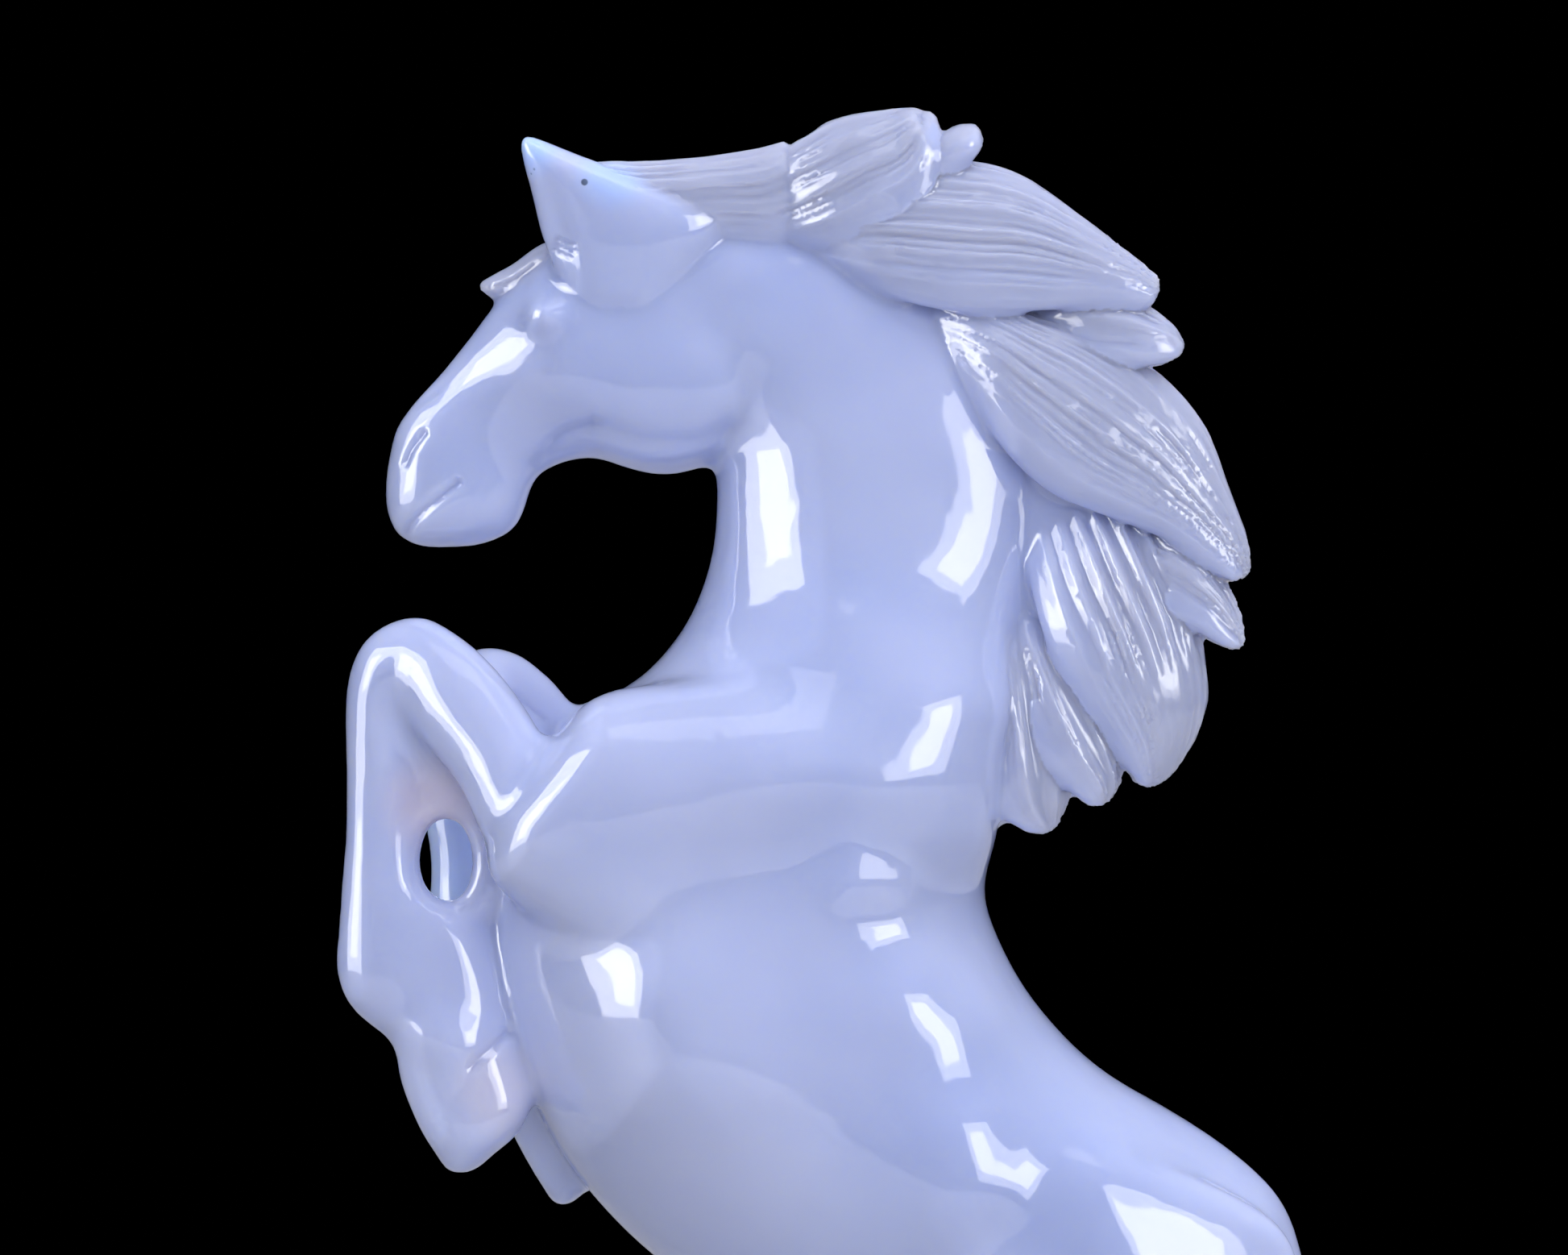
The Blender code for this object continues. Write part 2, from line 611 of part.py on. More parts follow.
def flat_underside(made):
    """Cuts the rock off flat at the underside."""
    block = bmesh.new()
    block.from_mesh(made.data)
    everything = block.verts[:] + block.edges[:] + block.faces[:]
    plane = (0, 0, -ROCK_THICKNESS / SQUARE)
    cut = bmesh.ops.bisect_plane(
        block, geom=everything, dist=1e-6, plane_co=plane, plane_no=(0, 0, 1), clear_inner=True
    )
    edges = [item for item in cut["geom_cut"] if isinstance(item, bmesh.types.BMEdge)]
    bmesh.ops.contextual_create(block, geom=edges)
    for edge in edges:
        edge.smooth = False
    block.to_mesh(made.data)
    block.free()


def stone():
    made = bpy.data.materials.new("blue_chalcedony")
    made.use_nodes = True
    shader = made.node_tree.nodes["Principled BSDF"]
    shader.inputs["Base Color"].default_value = STONE_COLOUR
    shader.inputs["Roughness"].default_value = STONE_ROUGHNESS
    shader.inputs["Metallic"].default_value = 0.0
    return made


def main():
    for made in list(bpy.data.objects):
        bpy.data.objects.remove(made)

    torso = whole(
        [
            loft(placed(TRUNK, 0, 0), sides=40, dome=BROAD_DOME),
            loft(placed(NECK, 0, 0), dome=BROAD_DOME),
            *both_sides(UPPER_ARM, SHOULDER_OUT, ARM_OUT, dome=BROAD_DOME),
        ],
        TORSO_RUB,
    )
    body = whole(
        [
            torso,
            loft(placed(HEAD, 0, 0), dome=BROAD_DOME),
            *both_sides_blob(CHEEK, CHEEK_OUT, CHEEK_RADII),
            *both_sides_blob(EYE, EYE_OUT, EYE_RADII),
            foreleg(NEAR_FORELEG, -1, NEAR_KNEE),
            loft(placed(KNEE_WEB, -KNEE_OUT, -KNEE_OUT)),
            loft(placed(rim_ribs(), -KNEE_OUT, -KNEE_OUT)),
            foreleg(FAR_FORELEG, 1, FAR_KNEE),
            loft(placed(FAR_KNEE_WEB, KNEE_OUT, KNEE_OUT)),
            *hind_legs(),
        ],
        LIMB_RUB,
    )
    raise_muscles(body)
    toe = HIND_LEG[-1][0] - FAR_STEP
    tail_end = TAIL[-1][0]
    carved = whole(
        [
            body,
            *both_sides(EAR, EAR_ROOT_OUT, EAR_TIP_OUT, dome=BROAD_DOME),
            *tail(),
            *mane(),
            loft(placed(FORELOCK, 0, 0)),
            rock(toe, tail_end, 2 * (HIND_HOOF_OUT + HIND_LEG[-1][4])),
        ],
        CARVING_RUB,
    )
    data = bpy.data.meshes.new("horse_carving")
    carved.to_mesh(data)
    carved.free()
    horse = bpy.data.objects.new("horse_carving", data)
    bpy.context.scene.collection.objects.link(horse)
    facets = horse.modifiers.new("facets", "DECIMATE")
    facets.ratio = TRIANGLES / triangles(data)
    settle(horse)
    flat_underside(horse)

    horse.data.materials.append(stone())
    for face in horse.data.polygons:
        face.use_smooth = True
    horse.scale = (SQUARE, SQUARE, SQUARE)
    horse.location = (-SQUARE * (toe + tail_end) / 2, 0, ROCK_THICKNESS)


main()
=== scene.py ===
import math

import bmesh
import bpy
import numpy as np
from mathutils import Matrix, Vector


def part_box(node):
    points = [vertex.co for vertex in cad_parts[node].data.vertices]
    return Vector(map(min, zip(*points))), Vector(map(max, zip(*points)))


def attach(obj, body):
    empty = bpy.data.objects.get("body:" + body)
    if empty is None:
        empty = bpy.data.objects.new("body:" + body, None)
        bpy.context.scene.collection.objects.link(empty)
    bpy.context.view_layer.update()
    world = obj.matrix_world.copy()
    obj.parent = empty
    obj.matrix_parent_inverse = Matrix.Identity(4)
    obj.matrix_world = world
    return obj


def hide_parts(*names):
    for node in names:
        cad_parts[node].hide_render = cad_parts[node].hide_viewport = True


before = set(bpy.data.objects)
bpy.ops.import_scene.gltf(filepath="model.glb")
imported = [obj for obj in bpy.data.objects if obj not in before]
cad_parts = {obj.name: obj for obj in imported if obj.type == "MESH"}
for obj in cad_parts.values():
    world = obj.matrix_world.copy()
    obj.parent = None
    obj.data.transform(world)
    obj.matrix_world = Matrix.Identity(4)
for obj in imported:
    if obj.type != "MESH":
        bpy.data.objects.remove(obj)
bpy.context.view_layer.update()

# The trunk, the neck and the upper arms: broad smooth masses of chalcedony, ground with large wheels and
# polished until one flows into the next. Each is a skin over ribs, drawn on the carver's squares, 25 of them
# from the hind soles to the crest of the mane.
CARVING = "horse_carving"
ROCK_THICKNESS = 0.0085
CREST = 25.03  # squares from the soles to the highest point of the mane
low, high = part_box(CARVING)
SQUARE = (high.z - low.z - ROCK_THICKNESS) / CREST
BROAD_VOXEL = 0.09  # how finely the broad forms are worked, and how far they are rubbed down
TORSO_RUB = 0.4
RUBS = 4  # rubs that even out a form as far as one voxel
# The end of a form bulges by this share of its half thickness there, in rings at these angles.
DOME = 0.6
BROAD_DOME = 0.35
DOME_ANGLES = (75, 55, 35, 15)
# A rib: x and z of its front or upper end, x and z of its back or lower end, and half its thickness.
TRUNK = (
    (-5.0, 17.9, -7.1, 16.7, 1.75),
    (-3.40, 17.55, -7.75, 15.85, 2.10),
    (-2.18, 16.45, -8.0, 14.9, 2.30),
    (-1.84, 15.4, -7.78, 13.72, 2.45),
    (-1.3, 14.2, -7.2, 12.34, 2.55),
    (-0.4, 13.2, -6.34, 11.2, 2.57),
    (0.60, 12.61, -5.04, 10.15, 2.50),
    (1.42, 12.06, -3.6, 9.25, 2.35),
    (2.0, 11.45, -2.3, 8.55, 2.25),
    (2.24, 10.62, -1.0, 7.8, 1.95),
    (2.45, 9.6, 0.5, 7.4, 1.45),
)
NECK = (
    (-1.95, 14.9, -6.9, 16.2, 1.95),
    (-1.72, 15.75, -6.65, 17.25, 2.05),
    (-1.66, 16.7, -5.95, 18.08, 1.95),
    (-1.5, 17.9, -5.5, 18.65, 1.60),
    (-1.1, 19.1, -5.22, 19.38, 1.28),
    (-0.9, 20.2, -5.15, 19.98, 1.12),
    (-1.1, 21.4, -5.15, 20.5, 1.04),
    (-1.7, 22.5, -5.1, 21.0, 0.98),
    (-2.9, 23.2, -5.3, 21.4, 0.95),
    (-4.3, 23.7, -5.5, 21.9, 0.92),
    (-5.4, 23.9, -5.8, 22.2, 0.85),
)
UPPER_ARM = (
    (-3.5, 17.5, -2.4, 16.1, 0.55),
    (-4.6, 17.95, -3.3, 15.5, 0.85),
    (-5.7, 17.95, -4.2, 15.0, 1.00),
    (-6.65, 17.82, -5.2, 14.7, 1.10),
    (-7.15, 17.2, -6.1, 14.6, 1.00),
    (-7.6, 16.5, -6.9, 14.75, 0.80),
    (-7.95, 15.95, -7.55, 15.2, 0.55),
)
SHOULDER_OUT = 1.25
ARM_OUT = 1.9


def spline(rows, steps):
    """Rows with steps between each pair of them, along a smooth curve."""
    rows = np.asarray(rows, float)
    ends = np.vstack([2 * rows[0] - rows[1], rows, 2 * rows[-1] - rows[-2]])
    made = []
    for before, start, stop, after in zip(ends, ends[1:], ends[2:], ends[3:]):
        for t in np.arange(steps) / steps:
            linear = (stop - before) * t
            square = (2 * before - 5 * start + 4 * stop - after) * t**2
            cube = (3 * start - before - 3 * stop + after) * t**3
            made.append(0.5 * (2 * start + linear + square + cube))
    return np.vstack([made, rows[-1]])


def unit(vectors):
    return vectors / np.maximum(np.linalg.norm(vectors, axis=-1, keepdims=True), 1e-9)


def placed(ribs, y_start=0.0, y_end=0.0):
    """The ribs' ends in space, and their half thicknesses."""
    ribs = np.asarray(ribs, float)
    y = np.linspace(y_start, y_end, len(ribs))
    front = np.column_stack([ribs[:, 0], y, ribs[:, 1]])
    back = np.column_stack([ribs[:, 2], y, ribs[:, 3]])
    return np.column_stack([front, back, ribs[:, 4]])


def closed(rings):
    """Faces that join each ring of points to the next, with a lid on both ends."""
    sides = len(rings[0])
    first = np.arange(sides) + sides * np.arange(len(rings) - 1)[:, None]
    second = np.roll(first, -1, axis=1)
    quads = np.stack([first, second, second + sides, first + sides], axis=-1).reshape(-1, 4)
    last = sides * (len(rings) - 1)
    return quads.tolist() + [list(range(sides))[::-1], list(range(last, last + sides))]


def loft(rows, sides=28, steps=5, dome=DOME, flutes=0, flute_depth=0.0, flute_end=2.0):
    """A closed skin over placed ribs, domed on both ends, and where each point is across and along it.

    Its flutes fade out over a third of its length, up to flute_end.
    """
    rows = spline(rows, steps)
    front = rows[:, 0:3]
    back = rows[:, 3:6]
    centre = (front + back) / 2
    half = (front - back) / 2
    along = unit(np.gradient(centre, axis=0))
    side = unit(np.cross(half, along)) * rows[:, 6:7]
    turn = np.linspace(0, 2 * math.pi, sides, endpoint=False)
    across = np.cos(turn)
    groove = np.abs(np.sin(math.pi * flutes * (across + 1) / 2))
    angles = np.radians(DOME_ANGLES)
    stations = [(0, -math.sin(angle), math.cos(angle)) for angle in angles]
    stations += [(i, 0.0, 1.0) for i in range(len(rows))]
    stations += [(-1, math.sin(angle), math.cos(angle)) for angle in angles[::-1]]
    rings = []
    for i, reach, size in stations:
        middle = centre[i] + along[i] * rows[i, 6] * dome * reach
        depth = flute_depth * min(1.0, max(0.0, 3 * (flute_end - i % len(rows) / len(rows))))
        out = np.sin(turn) * (1 - depth * groove)
        rings.append(middle + size * (np.outer(across, half[i]) + np.outer(out, side[i])))
    place = np.clip(np.arange(len(rings)) - len(angles), 0, len(rows) - 1) / (len(rows) - 1)
    return np.vstack(rings), closed(rings), np.tile(across, len(rings)), np.repeat(place, sides)


def both_sides(ribs, y_start, y_end, **form):
    """The loft on the near side, where y is negative, and on the far side."""
    near = loft(placed(ribs, -y_start, -y_end), **form)
    far = loft(placed(ribs, y_start, y_end), **form)
    return [near, far]


def joined(name, forms):
    """One object of all the forms."""
    points = np.vstack([form[0] for form in forms])
    starts = np.cumsum([0] + [len(form[0]) for form in forms])
    faces = [[i + start for i in face] for form, start in zip(forms, starts) for face in form[1]]
    data = bpy.data.meshes.new(name)
    data.from_pydata(points.tolist(), [], faces)
    made = bpy.data.objects.new(name, data)
    bpy.context.scene.collection.objects.link(made)
    return made


def settled(made):
    """Keeps the mesh that the object's modifiers give, in their place."""
    graph = bpy.context.evaluated_depsgraph_get()
    data = bpy.data.meshes.new_from_object(made.evaluated_get(graph))
    made.modifiers.clear()
    made.data = data


def fused(name, forms, voxel, rub, finer=0):
    """An object with one skin around all the forms, rubbed down as far as rub."""
    made = joined(name, forms)
    fuse = made.modifiers.new("fuse", "REMESH")
    fuse.mode = "VOXEL"
    fuse.voxel_size = voxel
    smoothing = made.modifiers.new("rub_down", "SMOOTH")
    smoothing.factor = 0.5
    smoothing.iterations = round(RUBS * (rub / voxel) ** 2)
    if finer:
        subdivision = made.modifiers.new("finer", "SUBSURF")
        subdivision.levels = finer
        subdivision.render_levels = finer
    settled(made)
    return made


def as_form(made):
    """The object's points and faces, taken back to be carved further."""
    data = made.data
    points = np.empty(len(data.vertices) * 3)
    data.vertices.foreach_get("co", points)
    corners = np.empty(len(data.loops), int)
    data.loops.foreach_get("vertex_index", corners)
    bpy.data.objects.remove(made)
    return points.reshape(-1, 3), corners.reshape(-1, 4).tolist()


torso = [
    loft(placed(TRUNK), sides=40, dome=BROAD_DOME),
    loft(placed(NECK), dome=BROAD_DOME),
    *both_sides(UPPER_ARM, SHOULDER_OUT, ARM_OUT, dome=BROAD_DOME),
]
torso = as_form(fused("torso", torso, BROAD_VOXEL, TORSO_RUB))

# The head: cut from the same stone and left almost plain, as the photo shows it, with round cheeks and eyes
# that are soft bulges with no lids.
HEAD = (
    (-5.2, 23.9, -4.75, 22.1, 0.75),
    (-6.1, 23.85, -4.85, 21.4, 0.88),
    (-6.85, 23.6, -5.1, 20.7, 0.94),
    (-7.38, 23.2, -5.65, 20.48, 0.96),
    (-7.82, 22.68, -6.15, 20.55, 0.88),
    (-8.2, 22.18, -6.58, 20.7, 0.70),
    (-8.51, 21.8, -6.98, 20.64, 0.58),
    (-8.86, 21.4, -7.32, 20.46, 0.52),
    (-9.09, 21.08, -7.42, 20.18, 0.55),
    (-9.2, 20.6, -7.57, 19.82, 0.56),
    (-9.24, 20.18, -8.0, 19.62, 0.48),
    (-9.15, 19.87, -8.55, 19.58, 0.32),
)
CHEEK = (-5.85, 21.75)
CHEEK_OUT = 0.42
CHEEK_RADII = (1.25, 0.58, 1.15)
EYE = (-7.2, 22.46)
EYE_OUT = 0.70
EYE_RADII = (0.32, 0.34, 0.24)
BLOB_SIDES = 32
BLOB_RINGS = 15
BLOB_TILT = 1.4  # radians from the middle of a blob to its last ring


def blob(centre, radii):
    """An ellipsoid, as points and faces."""
    turn = np.linspace(0, 2 * math.pi, BLOB_SIDES, endpoint=False)
    rings = []
    for tilt in np.linspace(-BLOB_TILT, BLOB_TILT, BLOB_RINGS):
        level = np.full(BLOB_SIDES, math.sin(tilt))
        ring = (math.cos(tilt) * np.cos(turn), math.cos(tilt) * np.sin(turn), level)
        rings.append(np.column_stack(ring) * radii + centre)
    return np.vstack(rings), closed(rings)


def both_sides_blob(centre, out, radii):
    """A blob on the near side and on the far side."""
    x, z = centre
    return [blob((x, -out, z), radii), blob((x, out, z), radii)]


head = [
    loft(placed(HEAD), dome=BROAD_DOME),
    *both_sides_blob(CHEEK, CHEEK_OUT, CHEEK_RADII),
    *both_sides_blob(EYE, EYE_OUT, EYE_RADII),
]

# The legs: folded forelegs that hang free of the chest but for a thin web of stone left in the fold of each
# knee, and hind legs that stand on the rock, the far one a step ahead.
NEAR_FORELEG = (
    (-7.1, 17.0, -7.75, 15.6, 0.50),
    (-7.27, 17.34, -7.95, 15.95, 0.55),
    (-7.59, 17.84, -8.24, 16.6, 0.56),
    (-7.99, 18.3, -8.71, 17.2, 0.52),
    (-8.39, 18.6, -8.94, 17.6, 0.49),
    (-8.75, 18.76, -9.05, 17.75, 0.50),
    (-9.17, 18.67, -9.05, 17.7, 0.50),
    (-9.50, 18.4, -9.0, 17.6, 0.49),
    (-9.66, 18.0, -8.90, 17.5, 0.46),
    (-9.71, 17.55, -8.82, 17.35, 0.42),
    (-9.70, 16.8, -8.78, 16.74, 0.37),
    (-9.71, 16.0, -8.80, 15.98, 0.36),
    (-9.76, 15.35, -8.64, 15.35, 0.38),
    (-9.81, 14.8, -8.05, 15.0, 0.42),
    (-9.81, 14.25, -7.86, 14.5, 0.46),
    (-9.6, 13.84, -7.7, 13.9, 0.44),
    (-9.12, 13.46, -7.55, 13.4, 0.42),
    (-9.06, 13.08, -7.45, 13.02, 0.46),
    (-8.88, 12.6, -7.37, 12.66, 0.50),
    (-8.68, 12.22, -7.57, 12.3, 0.50),
    (-8.5, 12.0, -7.87, 12.08, 0.38),
)
NEAR_KNEE = 5  # which rib of the near foreleg is at the knee
FAR_KNEE = 4
ELBOW_OUT = 1.55
KNEE_OUT = 0.8
FRONT_HOOF_OUT = 0.8
KNEE_WEB = (
    (-9.1, 17.7, -8.5, 17.6, 0.22),
    (-9.15, 17.3, -8.25, 17.2, 0.22),
    (-9.15, 16.85, -8.0, 16.75, 0.20),
    (-9.1, 16.55, -7.85, 16.5, 0.20),
)
HOLE = (-8.44, 15.72)  # the middle of the oval hole below the web, half its breadth and half its height
HOLE_RADII = (0.29, 0.51)
HOLE_RIM = 0.45  # the breadth and half the thickness of the stone around it
RIM_THICKNESS = 0.2
RIM_RIBS = 17
LIMB_RUB = 0.135
FAR_KNEE_WEB = (
    (-8.15, 17.5, -7.3, 17.3, 0.22),
    (-8.2, 16.9, -7.2, 16.7, 0.22),
    (-8.2, 16.2, -7.2, 16.0, 0.20),
    (-8.2, 15.5, -7.3, 15.3, 0.15),
)
FAR_FORELEG = (
    (-6.6, 16.8, -7.3, 15.4, 0.50),
    (-6.88, 17.6, -7.4, 16.0, 0.55),
    (-7.33, 18.12, -7.8, 16.9, 0.52),
    (-7.75, 18.36, -8.0, 17.3, 0.48),
    (-8.2, 18.32, -7.9, 17.25, 0.48),
    (-8.55, 17.95, -7.75, 17.2, 0.46),
    (-8.75, 17.3, -7.75, 16.95, 0.40),
    (-8.78, 16.4, -7.85, 16.3, 0.37),
    (-8.68, 15.7, -7.80, 15.65, 0.37),
    (-8.70, 14.9, -7.4, 14.9, 0.42),
    (-8.5, 14.2, -7.1, 14.4, 0.46),
    (-8.2, 13.5, -6.95, 13.8, 0.42),
    (-7.98, 13.0, -6.7, 13.3, 0.45),
    (-7.67, 12.3, -6.35, 12.7, 0.50),
    (-7.36, 11.75, -6.35, 12.17, 0.50),
    (-7.18, 11.5, -6.65, 11.74, 0.42),
)
HIND_LEG = (
    (-1.0, 12.1, 2.1, 10.8, 0.9),
    (-2.2, 10.8, 2.6, 9.4, 1.1),
    (-3.1, 9.4, 2.4, 8.1, 1.1),
    (-3.5, 8.1, 1.9, 7.1, 0.98),
    (-3.2, 7.1, 1.4, 6.4, 0.82),
    (-2.2, 6.3, 1.2, 5.8, 0.66),
    (-1.1, 5.6, 1.25, 5.3, 0.52),
    (-0.5, 4.8, 1.45, 4.9, 0.46),
    (-0.6, 4.1, 1.1, 4.0, 0.42),
    (-1.0, 3.3, 0.3, 2.95, 0.38),
    (-1.5, 2.4, -0.35, 2.0, 0.38),
    (-1.9, 1.7, -0.5, 1.2, 0.45),
    (-2.35, 1.2, -1.2, 0.65, 0.42),
    (-2.8, 0.85, -1.2, 0.4, 0.50),
    (-3.4, 0.0, -1.3, 0.0, 0.58),
    (-3.45, -0.4, -1.3, -0.4, 0.58),
)
HIP_OUT = 1.2
HIND_HOOF_OUT = 1.7
FAR_STEP = 1.1
STIFLE_HEIGHT = 8.0  # below it, the far hind leg swings ahead
# Muscles, and the folds between them where the height is negative. Each follows a path of x and z, on both
# sides of the horse. With it: half its width, and its height.
MUSCLES = {
    "nose": (((-8.75, 21.00), (-8.60, 21.20)), 0.40, 0.06),
    "behind_the_jaw": (((-4.80, 22.60), (-4.66, 21.90), (-4.90, 21.15)), 0.30, -0.04),
    "throat": (((-4.70, 22.00), (-4.75, 21.50)), 0.55, 0.12),
    "side_of_the_neck": (((-3.60, 20.80), (-3.60, 18.80)), 0.95, 0.14),
    "neck_root": (((-2.90, 18.10), (-1.90, 18.10)), 0.85, 0.18),
    "base_of_the_neck": (((-4.40, 16.80), (-3.60, 16.70)), 1.20, 0.38),
    "withers": (((-2.00, 17.40), (-2.00, 16.30)), 0.85, 0.45),
    "withers_fold": (((-3.40, 16.35), (-2.10, 16.32)), 0.28, -0.03),
    "elbow": (((-7.40, 16.20), (-6.90, 16.80), (-6.55, 17.20)), 0.40, 0.12),
    "fold_of_the_arm": (((-6.90, 17.66), (-7.26, 17.29), (-7.50, 16.80)), 0.12, -0.05),
    "fetlock": (((-8.55, 13.55), (-8.35, 13.45)), 0.35, 0.16),
    "behind_the_shoulder": (((-7.00, 15.45), (-5.70, 15.75), (-3.90, 16.15)), 0.60, -0.10),
    "over_the_ribs": (((-3.40, 15.48), (-2.95, 15.43)), 0.42, 0.15),
    "girth": (((-5.75, 13.90), (-5.55, 13.30)), 1.20, 0.45),
    "loin": (((-2.60, 14.00), (-2.20, 13.80)), 0.85, 0.27),
    "thigh": (((-2.15, 12.30), (-1.95, 10.80)), 0.75, 0.24),
    "rump": (((-0.30, 11.80), (-0.10, 10.80)), 0.55, 0.20),
    "croup": (((1.40, 11.80), (1.60, 10.40)), 1.10, -0.20),
    "stifle_fold": (((-3.30, 9.75), (-2.60, 10.50), (-1.60, 11.10)), 0.45, -0.12),
}
PATH_STEPS = 6  # between one bend of a path and the next
PATH_REACH = 3  # how far from its path a muscle still lifts the skin, in half widths
SIDE_ON = 1.5  # how soon a muscle comes to its full height, as the skin turns from the front to the side


def foreleg(ribs, y_sign, knee):
    """The ribs of a foreleg, which comes in from the elbow to the knee and then hangs straight."""
    rows = placed(ribs)
    stations = (0, 1, knee, len(ribs) - 1)
    out = np.interp(np.arange(len(ribs)), stations, (ELBOW_OUT, ELBOW_OUT, KNEE_OUT, FRONT_HOOF_OUT))
    rows[:, 1] = y_sign * out
    rows[:, 4] = y_sign * out
    return rows


def vertex_arrays(data):
    """The mesh's points and their normals."""
    points = np.empty(len(data.vertices) * 3)
    data.vertices.foreach_get("co", points)
    normals = np.empty(len(data.vertices) * 3)
    data.vertex_normals.foreach_get("vector", normals)
    return points.reshape(-1, 3), normals.reshape(-1, 3)


def distance_to_path(places, path):
    """How far each place is from a path of straight stretches, in as many directions as the path has."""
    nearest = np.full(len(places), np.inf)
    for start, stop in zip(path, path[1:]):
        start = np.array(start)
        stretch = np.array(stop) - start
        share = np.clip((places - start) @ stretch / (stretch @ stretch), 0, 1)
        nearest = np.minimum(nearest, np.linalg.norm(places - start - share[:, None] * stretch, axis=1))
    return nearest


def raised(data, paths):
    """Raises the skin along each path, with soft shoulders, on both sides of the horse, or sinks it."""
    points, normals = vertex_arrays(data)
    for path, width, height in paths.values():
        path = spline(path, PATH_STEPS) if len(path) > 2 else np.array(path)
        near = np.all(points[:, [0, 2]] > path.min(axis=0) - PATH_REACH * width, axis=1)
        near &= np.all(points[:, [0, 2]] < path.max(axis=0) + PATH_REACH * width, axis=1)
        away = distance_to_path(points[near][:, [0, 2]], path)
        lift = height * np.exp(-((away / width) ** 2))
        facing = np.clip(np.abs(normals[near][:, 1]) * SIDE_ON, 0, 1)
        points[near] += normals[near] * (lift * facing)[:, None]
    data.vertices.foreach_set("co", points.ravel())
    data.update()


swung = []
for front_x, front_z, back_x, back_z, thickness in HIND_LEG:
    front_x -= FAR_STEP * max(0.0, 1 - front_z / STIFLE_HEIGHT)
    back_x -= FAR_STEP * max(0.0, 1 - back_z / STIFLE_HEIGHT)
    swung.append((front_x, front_z, back_x, back_z, thickness))
rim = []
for angle in np.linspace(0, 2 * math.pi, RIM_RIBS):
    sideways = math.cos(angle)
    upward = math.sin(angle)
    inner = (HOLE[0] + HOLE_RADII[0] * sideways, HOLE[1] + HOLE_RADII[1] * upward)
    outer = (inner[0] + HOLE_RIM * sideways, inner[1] + HOLE_RIM * upward)
    rim.append((*inner, *outer, RIM_THICKNESS))
legs = [
    loft(foreleg(NEAR_FORELEG, -1, NEAR_KNEE)),
    loft(placed(KNEE_WEB, -KNEE_OUT, -KNEE_OUT)),
    loft(placed(rim, -KNEE_OUT, -KNEE_OUT)),
    loft(foreleg(FAR_FORELEG, 1, FAR_KNEE)),
    loft(placed(FAR_KNEE_WEB, KNEE_OUT, KNEE_OUT)),
    loft(placed(HIND_LEG, -HIP_OUT, -HIND_HOOF_OUT)),
    loft(placed(swung, HIP_OUT, HIND_HOOF_OUT)),
]
body = fused("body", [torso, *head, *legs], BROAD_VOXEL, LIMB_RUB, finer=1)
raised(body.data, MUSCLES)
body = as_form(body)

# The ears, the forelock and the tail: smaller forms, cut crisper than the body. The tail is six locks that
# wind around each other from the dock to the rock.
EAR = (
    (-6.95, 22.7, -5.6, 22.7, 0.36),
    (-7.26, 23.4, -5.0, 23.6, 0.40),
    (-7.38, 23.89, -5.7, 24.05, 0.36),
    (-7.47, 24.24, -6.45, 24.32, 0.30),
    (-7.53, 24.5, -7.0, 24.53, 0.22),
    (-7.54, 24.65, -7.33, 24.65, 0.14),
)
EAR_ROOT_OUT = 0.62
EAR_TIP_OUT = 0.88
FORELOCK = (
    (-6.9, 23.5, -7.0, 22.9, 0.42),
    (-7.3, 23.35, -7.35, 22.85, 0.40),
    (-7.62, 23.12, -7.6, 22.72, 0.34),
    (-7.88, 22.98, -7.85, 22.68, 0.26),
    (-7.97, 22.93, -7.93, 22.7, 0.16),
)
TAIL = (
    (1.9, 10.8, 2.0, 9.2, 0.50),
    (2.6, 10.5, 2.4, 9.0, 0.55),
    (3.4, 9.9, 2.6, 8.5, 0.62),
    (4.1, 8.8, 2.8, 7.7, 0.70),
    (4.5, 7.4, 2.9, 6.6, 0.78),
    (4.6, 5.8, 2.8, 5.3, 0.85),
    (4.4, 4.1, 2.5, 3.9, 0.88),
    (4.0, 2.5, 2.1, 2.5, 0.85),
    (3.8, 1.2, 1.8, 1.2, 0.85),
    (3.8, -0.3, 1.6, -0.3, 0.90),
)
TAIL_CORE = 0.7
TAIL_LOCK = 0.4
TAIL_LOCKS = 6
TAIL_TWIST = 2.4
STRAND = 0.12  # between one strand of hair and the next, in squares

ears = both_sides(EAR, EAR_ROOT_OUT, EAR_TIP_OUT, dome=BROAD_DOME)
forelock = loft(placed(FORELOCK), sides=48, steps=10, flutes=3, flute_depth=0.25)
rows = placed(TAIL)
centre = (rows[:, 0:3] + rows[:, 3:6]) / 2
half = (rows[:, 0:3] - rows[:, 3:6]) / 2
side = np.outer(rows[:, 6], (0, 1, 0))
wind = np.linspace(0, TAIL_TWIST, len(rows))[:, None]
core = np.hstack([centre + TAIL_CORE * half, centre - TAIL_CORE * half, TAIL_CORE * rows[:, 6:7]])
tail = [loft(core)]
for k in range(TAIL_LOCKS):
    angle = wind + 2 * math.pi * k / TAIL_LOCKS
    middle = centre + (1 - TAIL_LOCK) * (half * np.cos(angle) + side * np.sin(angle))
    reach = TAIL_LOCK * half
    lock = np.hstack([middle + reach, middle - reach, TAIL_LOCK * rows[:, 6:7]])
    tail.append(loft(lock, sides=32, steps=10))

